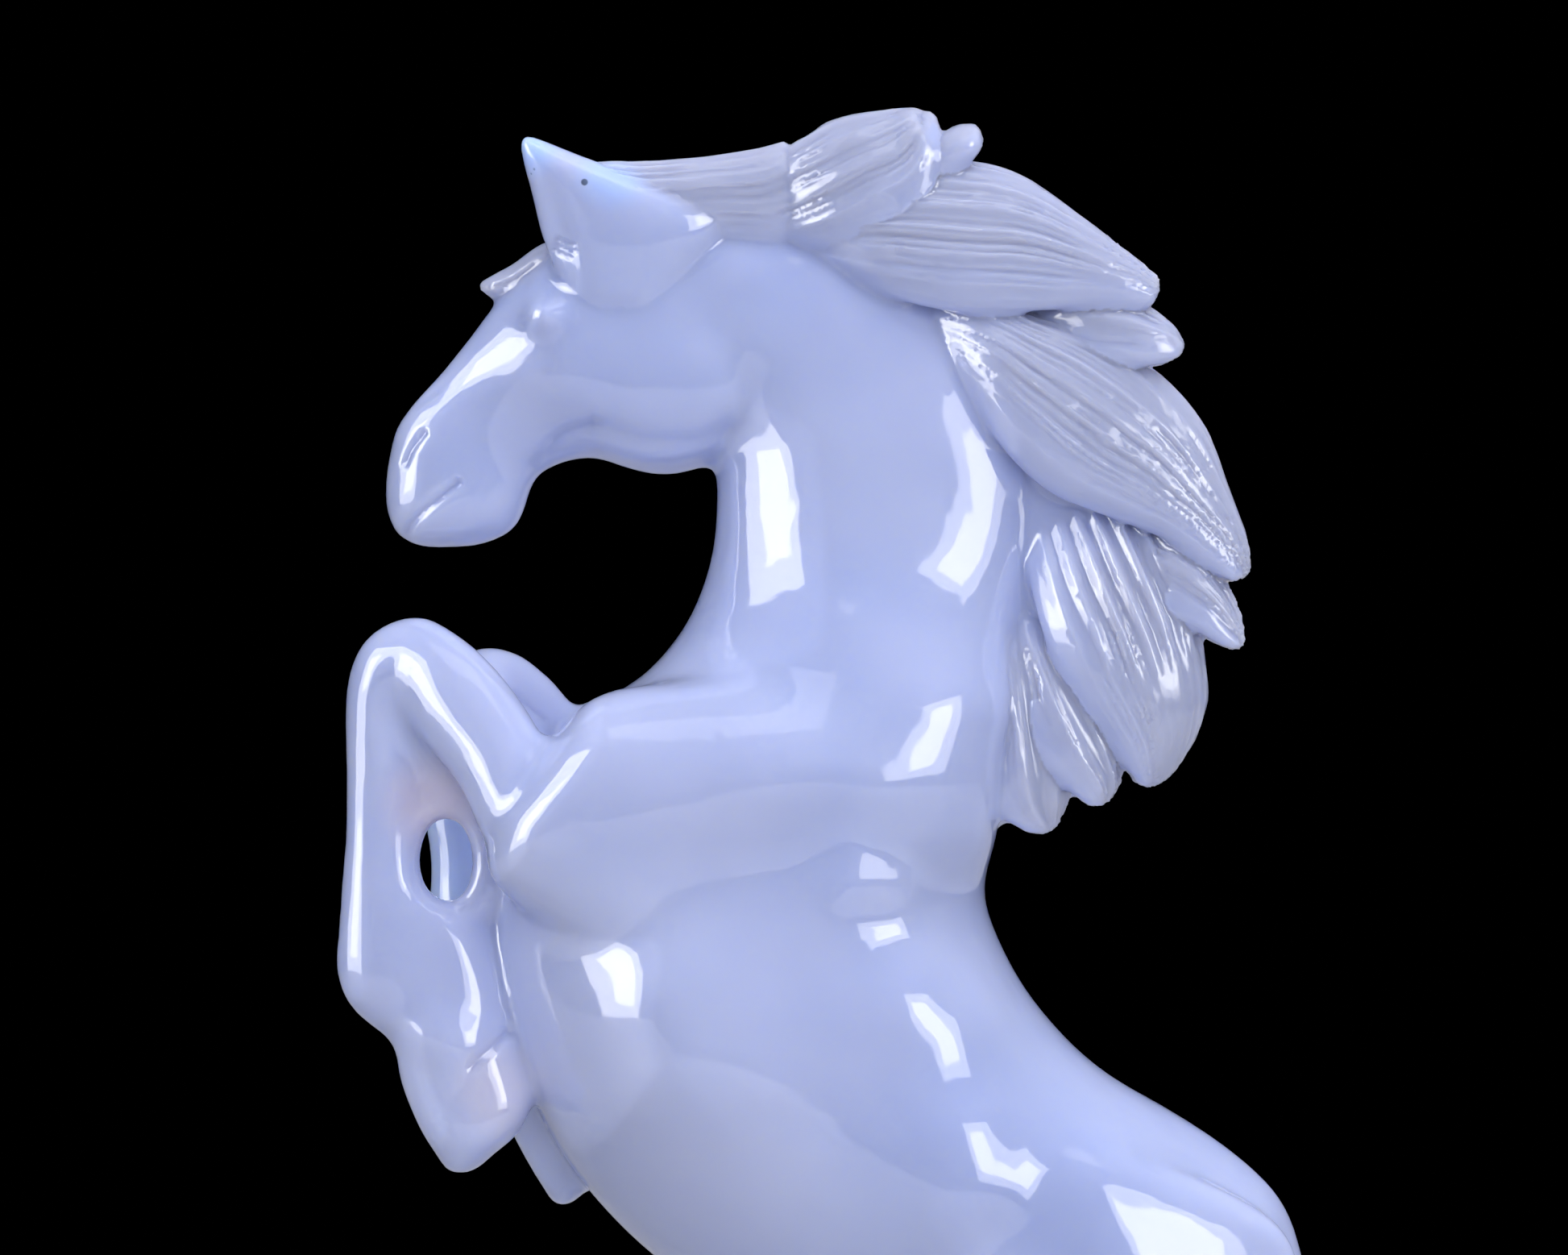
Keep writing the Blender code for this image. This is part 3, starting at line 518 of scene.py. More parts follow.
# The mane: thin overlapping locks, blown back from the crest of the neck. Each is fluted with a wheel and
# then combed with a finer one, and a web of plain stone joins the two sides behind them.
# With each lock's name: its flutes, their depth as a share of its half thickness, and its ribs.
MANE = {
    "poll_tuft": (
        3,
        0.12,
        (
            (-6.9, 24.1, -6.7, 23.4, 0.28),
            (-6.6, 24.38, -6.3, 23.4, 0.30),
            (-6.1, 24.38, -5.6, 23.4, 0.32),
            (-5.3, 24.43, -4.9, 23.4, 0.32),
            (-4.7, 24.52, -4.3, 23.4, 0.32),
            (-4.42, 24.58, -3.9, 23.7, 0.28),
            (-4.28, 24.62, -4.05, 24.2, 0.16),
        ),
    ),
    "crest": (
        4,
        0.14,
        (
            (-4.95, 24.0, -4.5, 23.4, 0.20),
            (-4.2, 24.57, -3.7, 23.3, 0.33),
            (-3.7, 24.88, -3.0, 23.5, 0.38),
            (-3.15, 25.0, -2.5, 23.9, 0.34),
            (-2.65, 25.03, -2.35, 24.4, 0.26),
            (-2.45, 24.98, -2.42, 24.65, 0.14),
        ),
    ),
    "crest_tip": (
        1,
        0.1,
        (
            (-3.2, 24.3, -3.0, 23.8, 0.24),
            (-2.6, 24.42, -2.4, 24.1, 0.26),
            (-2.15, 24.74, -2.02, 24.38, 0.24),
            (-1.92, 24.8, -1.86, 24.52, 0.16),
        ),
    ),
    "upper": (
        6,
        0.1,
        (
            (-4.4, 23.9, -3.9, 23.3, 0.36),
            (-3.3, 24.3, -3.1, 22.75, 0.44),
            (-2.2, 24.4, -2.2, 22.5, 0.44),
            (-1.36, 24.22, -1.2, 22.5, 0.40),
            (-0.57, 23.68, -0.55, 22.56, 0.34),
            (0.0, 23.22, 0.0, 22.57, 0.26),
            (0.33, 22.95, 0.26, 22.58, 0.16),
        ),
    ),
    "upper_tip": (
        2,
        0.15,
        (
            (-1.2, 22.9, -1.3, 22.1, 0.28),
            (-0.4, 22.85, -0.5, 21.95, 0.30),
            (0.2, 22.6, 0.1, 21.85, 0.28),
            (0.56, 22.32, 0.42, 21.87, 0.20),
            (0.66, 22.15, 0.58, 21.95, 0.12),
        ),
    ),
    "middle": (
        7,
        0.08,
        (
            (-2.6, 22.9, -2.3, 22.1, 0.36),
            (-1.4, 22.55, -1.95, 21.5, 0.46),
            (-0.4, 22.2, -1.55, 20.8, 0.50),
            (0.42, 21.72, -1.0, 20.28, 0.48),
            (0.95, 21.1, -0.3, 19.98, 0.42),
            (1.25, 20.3, 0.4, 19.72, 0.34),
            (1.46, 19.7, 1.0, 19.35, 0.22),
            (1.49, 19.35, 1.28, 19.19, 0.13),
        ),
    ),
    "middle_tip": (
        2,
        0.25,
        (
            (0.2, 20.2, -0.2, 19.3, 0.28),
            (0.75, 19.9, 0.35, 18.85, 0.30),
            (1.15, 19.3, 0.8, 18.6, 0.27),
            (1.38, 18.75, 1.08, 18.42, 0.20),
            (1.42, 18.45, 1.3, 18.36, 0.12),
        ),
    ),
    "lower": (
        7,
        0.38,
        (
            (0.1, 20.3, -1.35, 20.0, 0.38),
            (0.55, 19.5, -1.22, 19.1, 0.48),
            (0.88, 18.7, -1.0, 18.35, 0.50),
            (1.0, 17.9, -0.62, 17.7, 0.46),
            (0.88, 17.35, -0.25, 17.2, 0.38),
            (0.55, 16.85, -0.02, 16.85, 0.26),
            (0.3, 16.73, 0.12, 16.7, 0.15),
        ),
    ),
    "lower_tip": (
        3,
        0.2,
        (
            (-0.8, 18.8, -1.5, 18.7, 0.34),
            (-0.5, 18.1, -1.4, 17.8, 0.38),
            (-0.15, 17.4, -1.1, 17.0, 0.34),
            (-0.05, 16.85, -0.7, 16.55, 0.26),
            (-0.2, 16.55, -0.52, 16.42, 0.16),
        ),
    ),
    "wither_lock": (
        3,
        0.25,
        (
            (-1.1, 18.9, -1.7, 18.8, 0.36),
            (-0.95, 18.0, -1.78, 17.8, 0.40),
            (-0.72, 17.2, -1.78, 16.8, 0.36),
            (-0.68, 16.62, -1.6, 16.28, 0.28),
            (-0.85, 16.2, -1.3, 16.1, 0.18),
        ),
    ),
}
MANE_ROOT = (
    (-4.3, 22.9, -3.9, 24.3, 0.60),
    (-3.2, 22.4, -2.5, 24.1, 0.62),
    (-2.3, 21.6, -0.9, 23.2, 0.64),
    (-2.1, 20.6, 0.2, 21.5, 0.66),
    (-2.0, 19.6, 0.45, 20.0, 0.66),
    (-2.1, 18.6, 0.4, 18.8, 0.64),
    (-2.2, 17.6, -0.3, 17.5, 0.60),
    (-2.3, 16.7, -1.15, 16.6, 0.54),
    (-2.4, 16.0, -1.75, 15.95, 0.48),
)
LOCK_OUT = 0.55  # how far out of the middle of the neck a lock lies
LOCK_SINK = 0.35  # how much deeper in the neck it starts
LOCK_LEAN = 0.42  # how much further out its lower edge lies, over the next lock
UPRIGHT_LOCKS = ("poll_tuft",)  # the locks that lean less, and their lean
UPRIGHT_LEAN = 0.05
LEAN_RIBS = 2  # the ribs over which it comes to lean
LOWER_FLUTES_END = 0.5  # where the flutes of the lower lock have faded out, as a share of its length
TAIL_STRANDS = 6
FORELOCK_STRANDS = 7

locks = []
strands = []
mane_cores = [loft(placed(MANE_ROOT))]
for name, (flutes, flute_depth, ribs) in MANE.items():
    sink = np.zeros(len(ribs))
    sink[0] = LOCK_SINK
    lean = UPRIGHT_LEAN if name in UPRIGHT_LOCKS else LOCK_LEAN
    lean = lean * np.clip(np.arange(len(ribs)) / LEAN_RIBS, 0, 1)
    for y_sign in (-1, 1):
        rows = placed(ribs)
        rows[:, 1] = y_sign * (LOCK_OUT - sink)
        rows[:, 4] = y_sign * (LOCK_OUT - sink + lean)
        form = {"sides": 96, "steps": 10, "flutes": flutes, "flute_depth": flute_depth}
        if name == "lower":
            form["flute_end"] = LOWER_FLUTES_END
        locks.append(loft(rows, **form))
        breadth = max(math.hypot(rib[0] - rib[2], rib[1] - rib[3]) for rib in ribs)
        strands.append(round(breadth / STRAND))
    mane_cores.append(loft(placed(ribs)))
combed = locks + tail[1:] + [forelock]
strands += [TAIL_STRANDS] * TAIL_LOCKS + [FORELOCK_STRANDS]

# The rock: a low slab of the same stone with an uneven edge, left on the block for the hooves to stand on,
# and kept plain.
ROCK_MARGIN = 0.006 / SQUARE
ROCK_DEPTH = ROCK_THICKNESS / SQUARE
# The rock's edge: heights in shares of its thickness, from the ground up, and shares of its reach.
ROCK_EDGE = ((-1.6, 1.0), (-0.6, 1.02), (-0.25, 1.0), (-0.08, 0.94), (0.0, 0.84), (0.04, 0.4))
# Its waves: depth as a share of its reach, number around it, and where they start, in radians.
ROCK_WAVES = ((0.035, 3, 0.6), (0.025, 7, 0.0))
ROCK_SIDES = 96

toe = HIND_LEG[-1][0] - FAR_STEP
tail_end = TAIL[-1][0]
rock_middle = (toe + tail_end) / 2
turn = np.linspace(0, 2 * math.pi, ROCK_SIDES, endpoint=False)
rings = []
for height, share in ROCK_EDGE:
    uneven = 1 + sum(depth * np.sin(count * turn + start) for depth, count, start in ROCK_WAVES)
    reach = ((tail_end - toe) / 2 + ROCK_MARGIN) * share * uneven
    spread = (HIND_HOOF_OUT + HIND_LEG[-1][4] + ROCK_MARGIN) * share * uneven
    x = rock_middle + reach * np.cos(turn)
    rings.append(np.column_stack([x, spread * np.sin(turn), np.full(ROCK_SIDES, ROCK_DEPTH * height)]))
rock = (np.vstack(rings), closed(rings))

# The whole stone: all of it is one piece of chalcedony with no joint, so every form above is fused into one
# skin and rubbed down, softly on the body and hardly at all on the hair. The strands of hair are then combed
# in, and the face and the finest folds are cut with a small wheel.
FINE_VOXEL = 0.032
TRIANGLES = 190000
HAIR_REACH = 0.14  # how far from the skin of a lock the stone still counts as hair, in squares
HAIR_RUB = 0.045
BODY_RUB = 0.08
LOCK_STEP = 40  # between the numbers of the strands of one lock and those of the next
ROOT_FADE = 0.2  # the share of a lock's length over which its strands come in
EDGE_FADE = 0.9  # and the part of its breadth over which they go out, where half of it is 1
EDGE_START = 1.1
STRAND_DEPTH = 0.036
STRAND_WANDER = 1.3  # how far a strand strays, in breadths of a strand, and how unevenly they are spaced
STRAND_BUNCH = 1.6
STONE_BLUE = (0.34, 0.40, 0.66)
STONE_MILK = (0.41, 0.46, 0.70)
STONE_BAND = (0.48, 0.53, 0.74)
# The hair's colour: a milkier grey than the body, and darker too, as painted shade for the shade that falls
# among the locks.
HAIR_MILK_AND_SHADE = (0.335, 0.36, 0.50)
# Spots on the stone, most of them marks in it and one of them painted light: the centre, the radius, how
# soft its edge is, the tint, and how strong it is.
MARKS_AND_PAINTED_GLOW = (
    ((-0.0348, -0.0058, 0.1406), 0.00018, 0.0001, (0.02, 0.012, 0.015), 0.95),
    ((-0.0382, -0.0053, 0.1415), 0.00005, 0.00008, (0.05, 0.06, 0.12), 0.8),
    ((-0.0384, -0.0050, 0.1412), 0.00004, 0.00007, (0.05, 0.06, 0.12), 0.7),
    ((-0.0452, -0.0054, 0.0985), 0.001, 0.0035, (0.62, 0.50, 0.56), 0.4),
    ((-0.0404, -0.0068, 0.0792), 0.001, 0.0035, (0.60, 0.55, 0.62), 0.4),
    # A painted glow: a lighter blue on the far foreleg where it shows through the hole under the near knee,
    # for light shining through the stone into the hole.
    ((-0.0444, 0.0025, 0.0947), 0.0025, 0.0025, (0.50, 0.64, 1.0), 0.7),
    ((-0.0386, -0.0053, 0.1430), 0.0004, 0.0024, (0.34, 0.50, 0.90), 0.7),
    ((-0.0329, -0.0056, 0.1412), 0.0008, 0.0024, (0.34, 0.50, 0.90), 0.5),
)
# The finest cuts, each along a path on both sides of the horse, as the muscles are.
CUTS = {
    "nostril": (((-8.72, 21.02), (-8.82, 20.90), (-8.91, 20.76), (-8.96, 20.64)), 0.045, -0.05),
    "mouth": (((-8.30, 20.40), (-8.52, 20.22), (-8.78, 20.00), (-8.92, 19.84), (-8.97, 19.66)), 0.06, -0.05),
    "nose_crease": (((-8.58, 21.52), (-8.70, 21.43), (-8.82, 21.34)), 0.035, -0.02),
    "lip_dent": (((-8.72, 19.60), (-8.44, 19.62)), 0.08, -0.03),
    "under_cheek": (((-6.60, 21.08), (-5.99, 20.92), (-5.35, 20.90), (-4.95, 21.05)), 0.14, -0.05),
    "jaw_band": (((-7.34, 20.62), (-7.02, 20.96), (-6.63, 21.10)), 0.10, -0.035),
    "temple": (((-7.07, 23.40), (-6.86, 23.33)), 0.03, -0.035),
    "temple_middle": (((-7.10, 23.33), (-6.84, 23.25)), 0.03, -0.035),
    "temple_lower": (((-7.12, 23.27), (-6.90, 23.18)), 0.03, -0.03),
    "crack_of_the_forearm": (((-8.01, 18.19), (-7.59, 17.77), (-7.24, 17.46)), 0.03, -0.02),
    "near_coronet": (((-8.10, 13.20), (-7.68, 13.60)), 0.07, -0.04),
    "hind_coronet": (((-3.0, 0.62), (-1.15, 0.42)), 0.07, -0.04),
}


def hair_guide(name, forms, counts):
    """The locks alone, each point knowing which strand it is on and how deep the strands are cut there.

    The strands fade in from the root of a lock, and out again towards its lower edge.
    """
    made = joined(name, forms)
    strand = []
    hold = []
    for i, ((_, _, across, along), count) in enumerate(zip(forms, counts)):
        strand.append((across + 1) / 2 * count + LOCK_STEP * i)
        rooted = np.clip(along / ROOT_FADE, 0, 1)
        hold.append(rooted * np.clip((across + EDGE_START) / EDGE_FADE, 0, 1))
    for title, values in (("strand", strand), ("hold", hold)):
        attribute = made.data.attributes.new(title, "FLOAT", "POINT")
        attribute.data.foreach_set("value", np.concatenate(values))
    return made


def put(tree, kind, inputs=(), **settings):
    """A node with its settings, and what each input is fed with or set to."""
    made = tree.nodes.new(kind)
    for name, value in settings.items():
        setattr(made, name, value)
    for name, value in dict(inputs).items():
        if isinstance(value, bpy.types.NodeSocket):
            tree.links.new(value, made.inputs[name])
        else:
            made.inputs[name].default_value = value
    return made


def sum_of(tree, operation, a, b=0.0, c=0.0):
    """What a Math node makes of its values."""
    return put(tree, "ShaderNodeMath", {0: a, 1: b, 2: c}, operation=operation).outputs[0]


def combing():
    """A node tree that rubs the body down, and combs strands into the stone along the locks."""
    tree = bpy.data.node_groups.new("combing", "GeometryNodeTree")
    for title, kind in (
        ("Stone", "NodeSocketGeometry"),
        ("Locks", "NodeSocketObject"),
        ("Hair Reach", "NodeSocketFloat"),
        ("Rubs", "NodeSocketInt"),
        ("Strand Depth", "NodeSocketFloat"),
        ("Wander", "NodeSocketFloat"),
        ("Finish", "NodeSocketMaterial"),
    ):
        tree.interface.new_socket(title, in_out="INPUT", socket_type=kind)
    tree.interface.new_socket("Stone", in_out="OUTPUT", socket_type="NodeSocketGeometry")
    given = tree.nodes.new("NodeGroupInput").outputs
    locks = put(tree, "GeometryNodeObjectInfo", {"Object": given["Locks"]}).outputs["Geometry"]
    away = put(tree, "GeometryNodeProximity", {0: locks}, target_element="FACES").outputs["Distance"]
    mask = put(
        tree,
        "ShaderNodeMapRange",
        {"Value": away, "From Min": 0.0, "From Max": given["Hair Reach"], "To Min": 1.0, "To Max": 0.0},
        interpolation_type="SMOOTHSTEP",
    ).outputs["Result"]
    sampled = {}
    for title in ("strand", "hold"):
        kept = put(tree, "GeometryNodeInputNamedAttribute", {"Name": title}, data_type="FLOAT")
        sampled[title] = put(
            tree,
            "GeometryNodeSampleNearestSurface",
            {"Mesh": locks, "Value": kept.outputs["Attribute"]},
            data_type="FLOAT",
        ).outputs["Value"]
    stone = given["Stone"]
    mask = sum_of(tree, "MULTIPLY", mask, sampled["hold"])
    for title, value in (("hair", mask), ("strand", sampled["strand"])):
        stone = put(
            tree,
            "GeometryNodeStoreNamedAttribute",
            {"Geometry": stone, "Name": title, "Value": value},
            data_type="FLOAT",
            domain="POINT",
        ).outputs["Geometry"]
    held = {}
    for title in ("hair", "strand"):
        kept = put(tree, "GeometryNodeInputNamedAttribute", {"Name": title}, data_type="FLOAT")
        held[title] = kept.outputs["Attribute"]
    position = tree.nodes.new("GeometryNodeInputPosition").outputs[0]
    rubbed = put(
        tree,
        "GeometryNodeBlurAttribute",
        {"Value": position, "Iterations": given["Rubs"]},
        data_type="FLOAT_VECTOR",
    ).outputs["Value"]
    blend = put(tree, "ShaderNodeMix", {0: held["hair"], 4: rubbed, 5: position}, data_type="VECTOR")
    moved = {"Geometry": stone, "Position": blend.outputs[1]}
    stone = put(tree, "GeometryNodeSetPosition", moved).outputs["Geometry"]
    drift = put(
        tree,
        "ShaderNodeTexNoise",
        {"Vector": position, "Scale": 0.8, "Detail": 1.0},
        noise_dimensions="3D",
    ).outputs[0]
    wander = sum_of(tree, "MULTIPLY", sum_of(tree, "SUBTRACT", drift, 0.5), given["Wander"])
    place = sum_of(tree, "ADD", held["strand"], wander)
    bunch = put(
        tree,
        "ShaderNodeTexNoise",
        {"W": place, "Scale": 0.45, "Detail": 1.0},
        noise_dimensions="1D",
    )
    place = sum_of(tree, "MULTIPLY_ADD", bunch.outputs[0], STRAND_BUNCH, place)
    valley = sum_of(tree, "ABSOLUTE", sum_of(tree, "SINE", sum_of(tree, "MULTIPLY", place, math.pi)))
    own = put(
        tree,
        "ShaderNodeTexWhiteNoise",
        {"W": sum_of(tree, "FLOOR", place)},
        noise_dimensions="1D",
    ).outputs["Value"]
    depth = sum_of(tree, "MULTIPLY", sum_of(tree, "MULTIPLY_ADD", own, 0.8, 0.5), given["Strand Depth"])
    wear = put(tree, "ShaderNodeTexNoise", {"Vector": position, "Scale": 1.1}).outputs[0]
    worn = put(
        tree,
        "ShaderNodeMapRange",
        {"Value": wear, "From Min": 0.42, "From Max": 0.62},
        interpolation_type="SMOOTHSTEP",
    ).outputs["Result"]
    depth = sum_of(tree, "MULTIPLY", depth, sum_of(tree, "MULTIPLY_ADD", worn, 0.75, 0.25))
    amount = sum_of(tree, "MULTIPLY", sum_of(tree, "MULTIPLY", valley, depth), -1.0)
    amount = sum_of(tree, "MULTIPLY", amount, held["hair"])
    normal = tree.nodes.new("GeometryNodeInputNormal").outputs[0]
    offset = put(tree, "ShaderNodeVectorMath", {0: normal}, operation="SCALE")
    tree.links.new(amount, offset.inputs["Scale"])
    stone = put(
        tree, "GeometryNodeSetPosition", {"Geometry": stone, "Offset": offset.outputs[0]}
    ).outputs["Geometry"]
    unneeded = {"Geometry": stone, "Name": "strand"}
    stone = put(tree, "GeometryNodeRemoveAttribute", unneeded).outputs["Geometry"]
    real = put(tree, "GeometryNodeRealizeInstances", {"Geometry": stone}).outputs["Geometry"]
    finished = put(tree, "GeometryNodeSetMaterial", {"Geometry": real, "Material": given["Finish"]})
    tree.links.new(finished.outputs["Geometry"], tree.nodes.new("NodeGroupOutput").inputs[0])
    return tree


def set_inputs(modifier, values):
    for item in modifier.node_group.interface.items_tree:
        if item.item_type == "SOCKET" and item.in_out == "INPUT" and item.name in values:
            modifier[item.identifier] = values[item.name]


def without_bubbles(data):
    """Takes out the bubbles of air that the fusing has closed in inside the stone, and keeps its skin."""
    block = bmesh.new()
    block.from_mesh(data)
    left = set(block.verts)
    shells = []
    for first in block.verts:
        if first not in left:
            continue
        left.remove(first)
        shell = [first]
        for vert in shell:
            for edge in vert.link_edges:
                other = edge.other_vert(vert)
                if other in left:
                    left.remove(other)
                    shell.append(other)
        shells.append(shell)
    shells.sort(key=len)
    bmesh.ops.delete(block, geom=[vert for shell in shells[:-1] for vert in shell], context="VERTS")
    block.to_mesh(data)
    block.free()


def flat_underside(data, height):
    """Cuts the rock off flat, and closes it."""
    block = bmesh.new()
    block.from_mesh(data)
    everything = block.verts[:] + block.edges[:] + block.faces[:]
    cut = bmesh.ops.bisect_plane(
        block, geom=everything, dist=1e-6, plane_co=(0, 0, height), plane_no=(0, 0, 1), clear_inner=True
    )
    edges = [item for item in cut["geom_cut"] if isinstance(item, bmesh.types.BMEdge)]
    bmesh.ops.contextual_create(block, geom=edges)
    for edge in edges:
        edge.smooth = False
    bmesh.ops.triangulate(block, faces=[face for face in block.faces if len(face.verts) > 3])
    block.to_mesh(data)
    block.free()


def spot(tree, place, centre, radius, softness):
    """1 within a radius of a point on the near side, falling to 0 over the softness."""
    away = put(tree, "ShaderNodeVectorMath", {0: place, 1: centre}, operation="DISTANCE").outputs["Value"]
    fade = {"Value": away, "From Min": radius, "From Max": radius + softness, "To Min": 1.0, "To Max": 0.0}
    return put(tree, "ShaderNodeMapRange", fade, interpolation_type="SMOOTHSTEP").outputs["Result"]


def tinted(tree, factor, below, above):
    """A colour laid over another one by a factor."""
    made = put(tree, "ShaderNodeMix", {0: factor}, data_type="RGBA")
    for socket, value in ((made.inputs[6], below), (made.inputs[7], above)):
        if isinstance(value, bpy.types.NodeSocket):
            tree.links.new(value, socket)
        else:
            socket.default_value = (*value, 1.0)
    return made.outputs[2]


def chalcedony():
    """Polished translucent stone: lavender blue with milky clouds, faint bands and a few dark specks, hair
    that is milkier and darker by painted shade, and a painted glow in the hole under the near knee.
    """
    made = bpy.data.materials.new("blue_chalcedony")
    made.use_nodes = True
    tree = made.node_tree
    shader = tree.nodes["Principled BSDF"]
    place = tree.nodes.new("ShaderNodeTexCoord").outputs["Object"]
    hair = put(tree, "ShaderNodeAttribute", attribute_name="hair").outputs["Fac"]
    cloud = put(
        tree,
        "ShaderNodeTexNoise",
        {"Vector": place, "Scale": 38.0, "Detail": 3.0, "Roughness": 0.55},
    )
    milk = put(
        tree,
        "ShaderNodeMapRange",
        {"Value": cloud.outputs[0], "From Min": 0.35, "From Max": 0.68},
        interpolation_type="SMOOTHSTEP",
    ).outputs["Result"]
    colour = tinted(tree, milk, STONE_BLUE, STONE_MILK)
    bands = put(
        tree,
        "ShaderNodeTexWave",
        {"Vector": place, "Scale": 22.0, "Distortion": 5.0, "Detail": 2.0, "Detail Scale": 1.2},
        bands_direction="DIAGONAL",
    ).outputs["Fac"]
    faint = sum_of(tree, "MULTIPLY", sum_of(tree, "POWER", bands, 3.0), 0.18)
    colour = tinted(tree, faint, colour, STONE_BAND)
    # The hair: milkier grey, and darker as painted shade among the locks.
    colour = tinted(tree, sum_of(tree, "MULTIPLY", hair, 0.75), colour, HAIR_MILK_AND_SHADE)
    # The spots, among them the painted glow in the hole under the near knee.
    for centre, radius, softness, tint, share in MARKS_AND_PAINTED_GLOW:
        mask = spot(tree, place, centre, radius, softness)
        colour = tinted(tree, sum_of(tree, "MULTIPLY", mask, share), colour, tint)
    tree.links.new(colour, shader.inputs["Base Color"])
    rough = put(tree, "ShaderNodeTexNoise", {"Vector": place, "Scale": 160.0, "Detail": 3.0}).outputs[0]
    polish = sum_of(tree, "MULTIPLY_ADD", rough, 0.05, 0.045)
    tree.links.new(sum_of(tree, "MULTIPLY_ADD", hair, 0.05, polish), shader.inputs["Roughness"])
    waves = put(tree, "ShaderNodeTexNoise", {"Vector": place, "Scale": 210.0, "Detail": 1.5}).outputs[0]
    bump = put(tree, "ShaderNodeBump", {"Strength": 0.22, "Distance": 0.0006, "Height": waves})
    tree.links.new(bump.outputs["Normal"], shader.inputs["Normal"])
    shader.inputs["Subsurface Weight"].default_value = 1.0
    shader.inputs["Subsurface Radius"].default_value = (1.0, 0.85, 0.6)
    shader.inputs["Subsurface Scale"].default_value = 0.003
    shader.inputs["IOR"].default_value = 1.54
    shader.inputs["Specular IOR Level"].default_value = 1.0
    return made


forms = [body, *ears, *tail, *mane_cores, *locks, forelock, rock]
horse = fused(CARVING + "_stone", forms, FINE_VOXEL, HAIR_RUB)
guide = hair_guide("locks", combed, strands)
comb = horse.modifiers.new("comb", "NODES")
comb.node_group = combing()
set_inputs(
    comb,
    {
        "Locks": guide,
        "Hair Reach": HAIR_REACH,
        "Rubs": round(RUBS * (BODY_RUB / FINE_VOXEL) ** 2),
        "Strand Depth": STRAND_DEPTH,
        "Wander": STRAND_WANDER,
        "Finish": chalcedony(),
    },
)
settled(horse)
bpy.data.objects.remove(guide)
raised(horse.data, CUTS)
facets = horse.modifiers.new("facets", "DECIMATE")
facets.ratio = TRIANGLES / (2 * len(horse.data.polygons))
settled(horse)
without_bubbles(horse.data)
flat_underside(horse.data, -ROCK_DEPTH)
horse.data.polygons.foreach_set("use_smooth", np.ones(len(horse.data.polygons), bool))
points, _ = vertex_arrays(horse.data)
points = (points - (rock_middle, 0, -ROCK_DEPTH)) * SQUARE
horse.data.vertices.foreach_set("co", points.ravel())
horse.data.update()
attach(horse, "root")
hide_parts(CARVING)

# The floor and the lights: a plain pale floor, tall soft boxes on both sides of the camera that the polished
# stone mirrors, each brighter in its middle, and wide soft fills that only light it up.
FLOOR_REACH = 0.7
FLOOR_SIDES = 96
data = bpy.data.meshes.new("floor")
turn = np.linspace(0, 2 * math.pi, FLOOR_SIDES, endpoint=False)
disc = np.column_stack([FLOOR_REACH * np.cos(turn), FLOOR_REACH * np.sin(turn), np.zeros(FLOOR_SIDES)])
data.from_pydata(disc.tolist(), [], [list(range(FLOOR_SIDES))])
floor = bpy.data.objects.new("floor", data)
bpy.context.scene.collection.objects.link(floor)
paint = bpy.data.materials.new("pale_floor")
paint.use_nodes = True
paint.node_tree.nodes["Principled BSDF"].inputs["Base Color"].default_value = (0.34, 0.34, 0.36, 1)
paint.node_tree.nodes["Principled BSDF"].inputs["Roughness"].default_value = 0.6
floor.data.materials.append(paint)

MIDDLE = Vector((-0.005, 0.0, 0.105))  # the point that every light faces


def soft_light(name, azimuth, elevation, distance, width, height, power, mirrored=False):
    """An area light that faces the carving. Azimuth 0 is the camera's side, and 90 is to its right."""
    light = bpy.data.lights.new(name, "AREA")
    light.shape = "RECTANGLE"
    light.size = width
    light.size_y = height
    light.energy = power
    made = bpy.data.objects.new(name, light)
    bpy.context.scene.collection.objects.link(made)
    a = math.radians(azimuth)
    e = math.radians(elevation)
    away = Vector((math.sin(a) * math.cos(e), -math.cos(a) * math.cos(e), math.sin(e)))
    made.location = MIDDLE + away * distance
    made.rotation_euler = (-away).to_track_quat("-Z", "Y").to_euler()
    made.visible_glossy = mirrored
    made.visible_diffuse = not mirrored


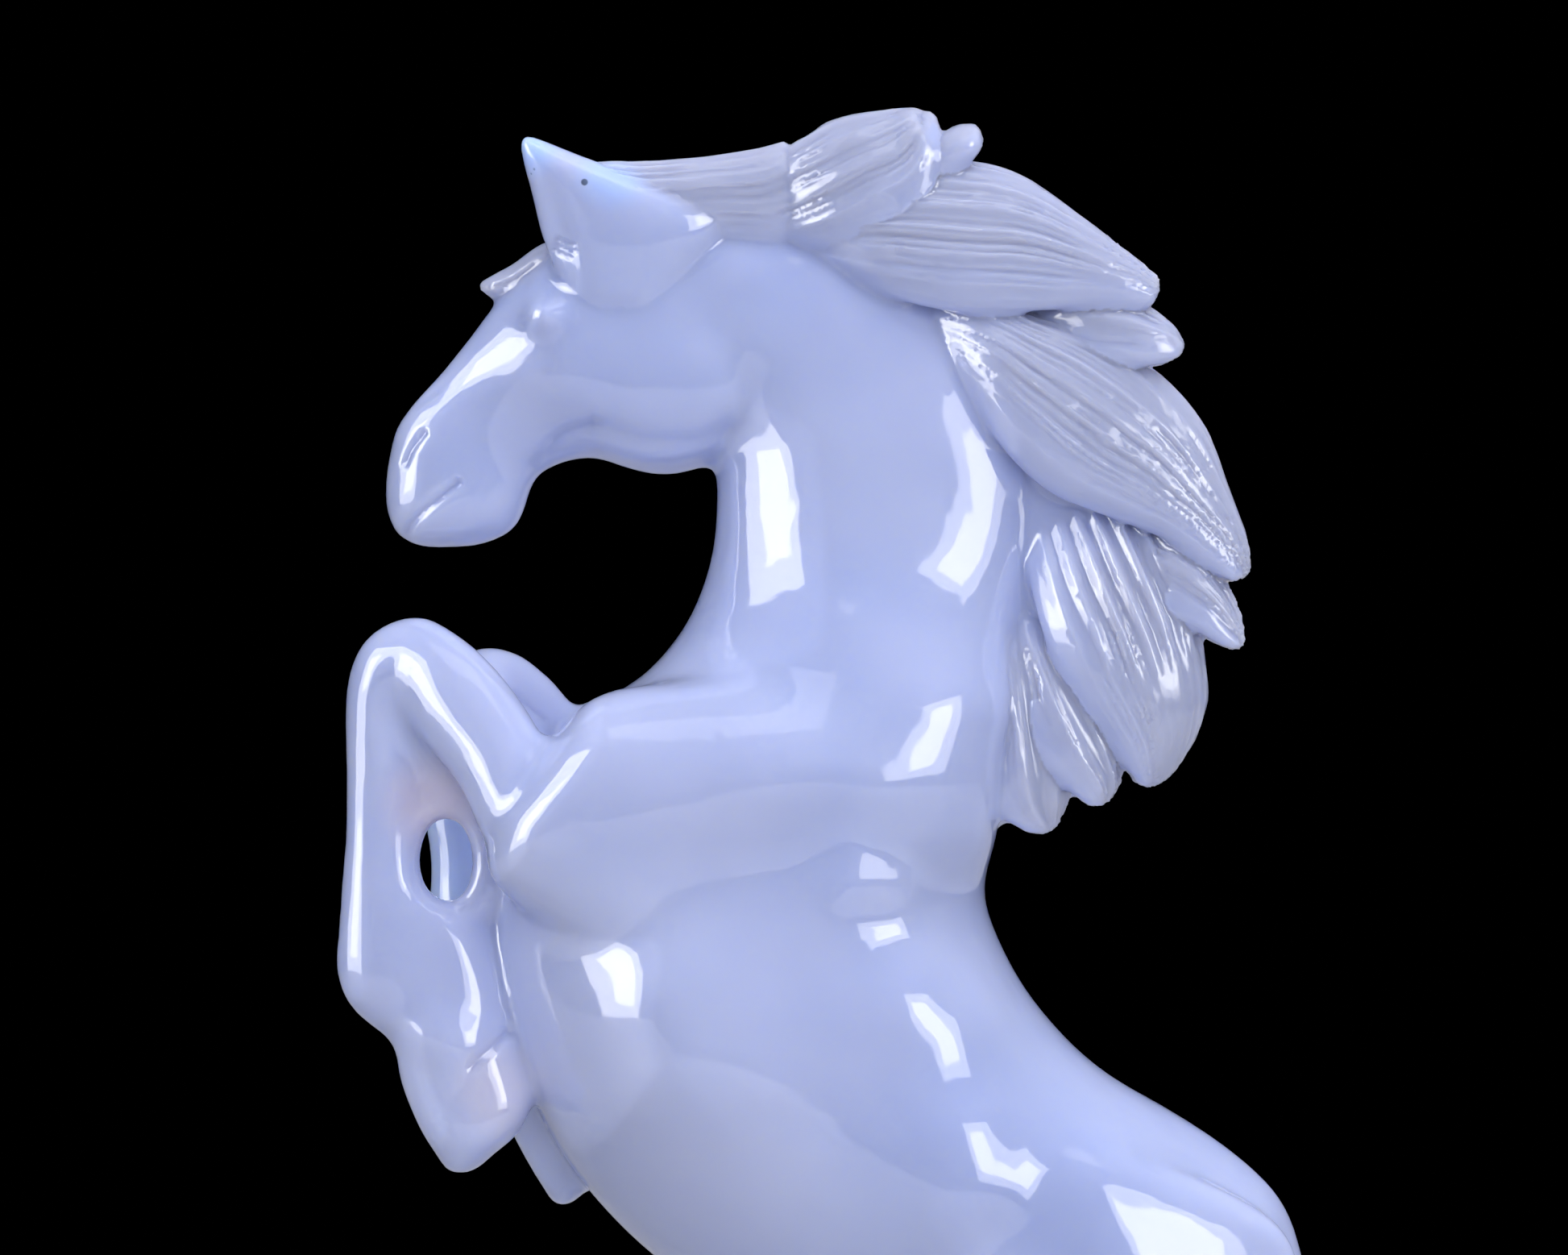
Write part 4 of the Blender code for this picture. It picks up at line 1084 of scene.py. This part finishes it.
soft_light("left_box", -64, 16, 0.70, 0.44, 0.66, 3.2, mirrored=True)
soft_light("left_core", -61, 14, 0.68, 0.20, 0.36, 0.6, mirrored=True)
soft_light("right_box", 46, 15, 0.70, 0.34, 0.40, 1.05, mirrored=True)
soft_light("right_core", 45, 15, 0.68, 0.17, 0.22, 0.32, mirrored=True)
soft_light("high_box", 12, 66, 0.80, 0.50, 0.30, 0.35, mirrored=True)
soft_light("left_fill", -64, 16, 0.70, 0.44, 0.66, 3.9)
soft_light("right_fill", 46, 15, 0.70, 0.34, 0.40, 0.7)
soft_light("top_fill", 0, 80, 1.0, 1.5, 1.5, 13.5)
soft_light("high_right_fill", 75, 55, 1.0, 1.2, 1.2, 6.3)
soft_light("high_front_fill", 0, 35, 1.2, 1.4, 0.9, 4.6)
soft_light("back_fill", 130, 35, 0.9, 0.6, 0.6, 4.4)
soft_light("low_fill", 10, 5, 1.3, 1.4, 1.2, 11.2)

world = bpy.data.worlds.new("dark_studio")
world.use_nodes = True
world.node_tree.nodes["Background"].inputs["Color"].default_value = (0.0, 0.0, 0.0, 1)
bpy.context.scene.world = world
bpy.context.scene.view_settings.view_transform = "Standard"

# The camera: level with the horse's chest and square to its near side. In its picture a square is 100 pixels
# wide, the middle of the rock is below column 1361.5, and the soles are level with row 2639.
PIXEL = SQUARE / 100
PICTURE = (1946, 1557)
ROCK_COLUMN = 1361.5
SOLE_ROW = 2639
SENSOR = 36
DISTANCE = 1.2
lens = bpy.data.cameras.new("camera")
lens.sensor_width = SENSOR
lens.lens = SENSOR * DISTANCE / (PICTURE[0] * PIXEL)
lens.clip_start = 0.01
camera = bpy.data.objects.new("camera", lens)
right_by = (PICTURE[0] / 2 - ROCK_COLUMN) * PIXEL
up_by = (SOLE_ROW - PICTURE[1] / 2) * PIXEL
camera.location = (right_by, -DISTANCE, up_by + ROCK_THICKNESS)
camera.rotation_euler = (math.pi / 2, 0, 0)
bpy.context.scene.collection.objects.link(camera)
bpy.context.scene.camera = camera
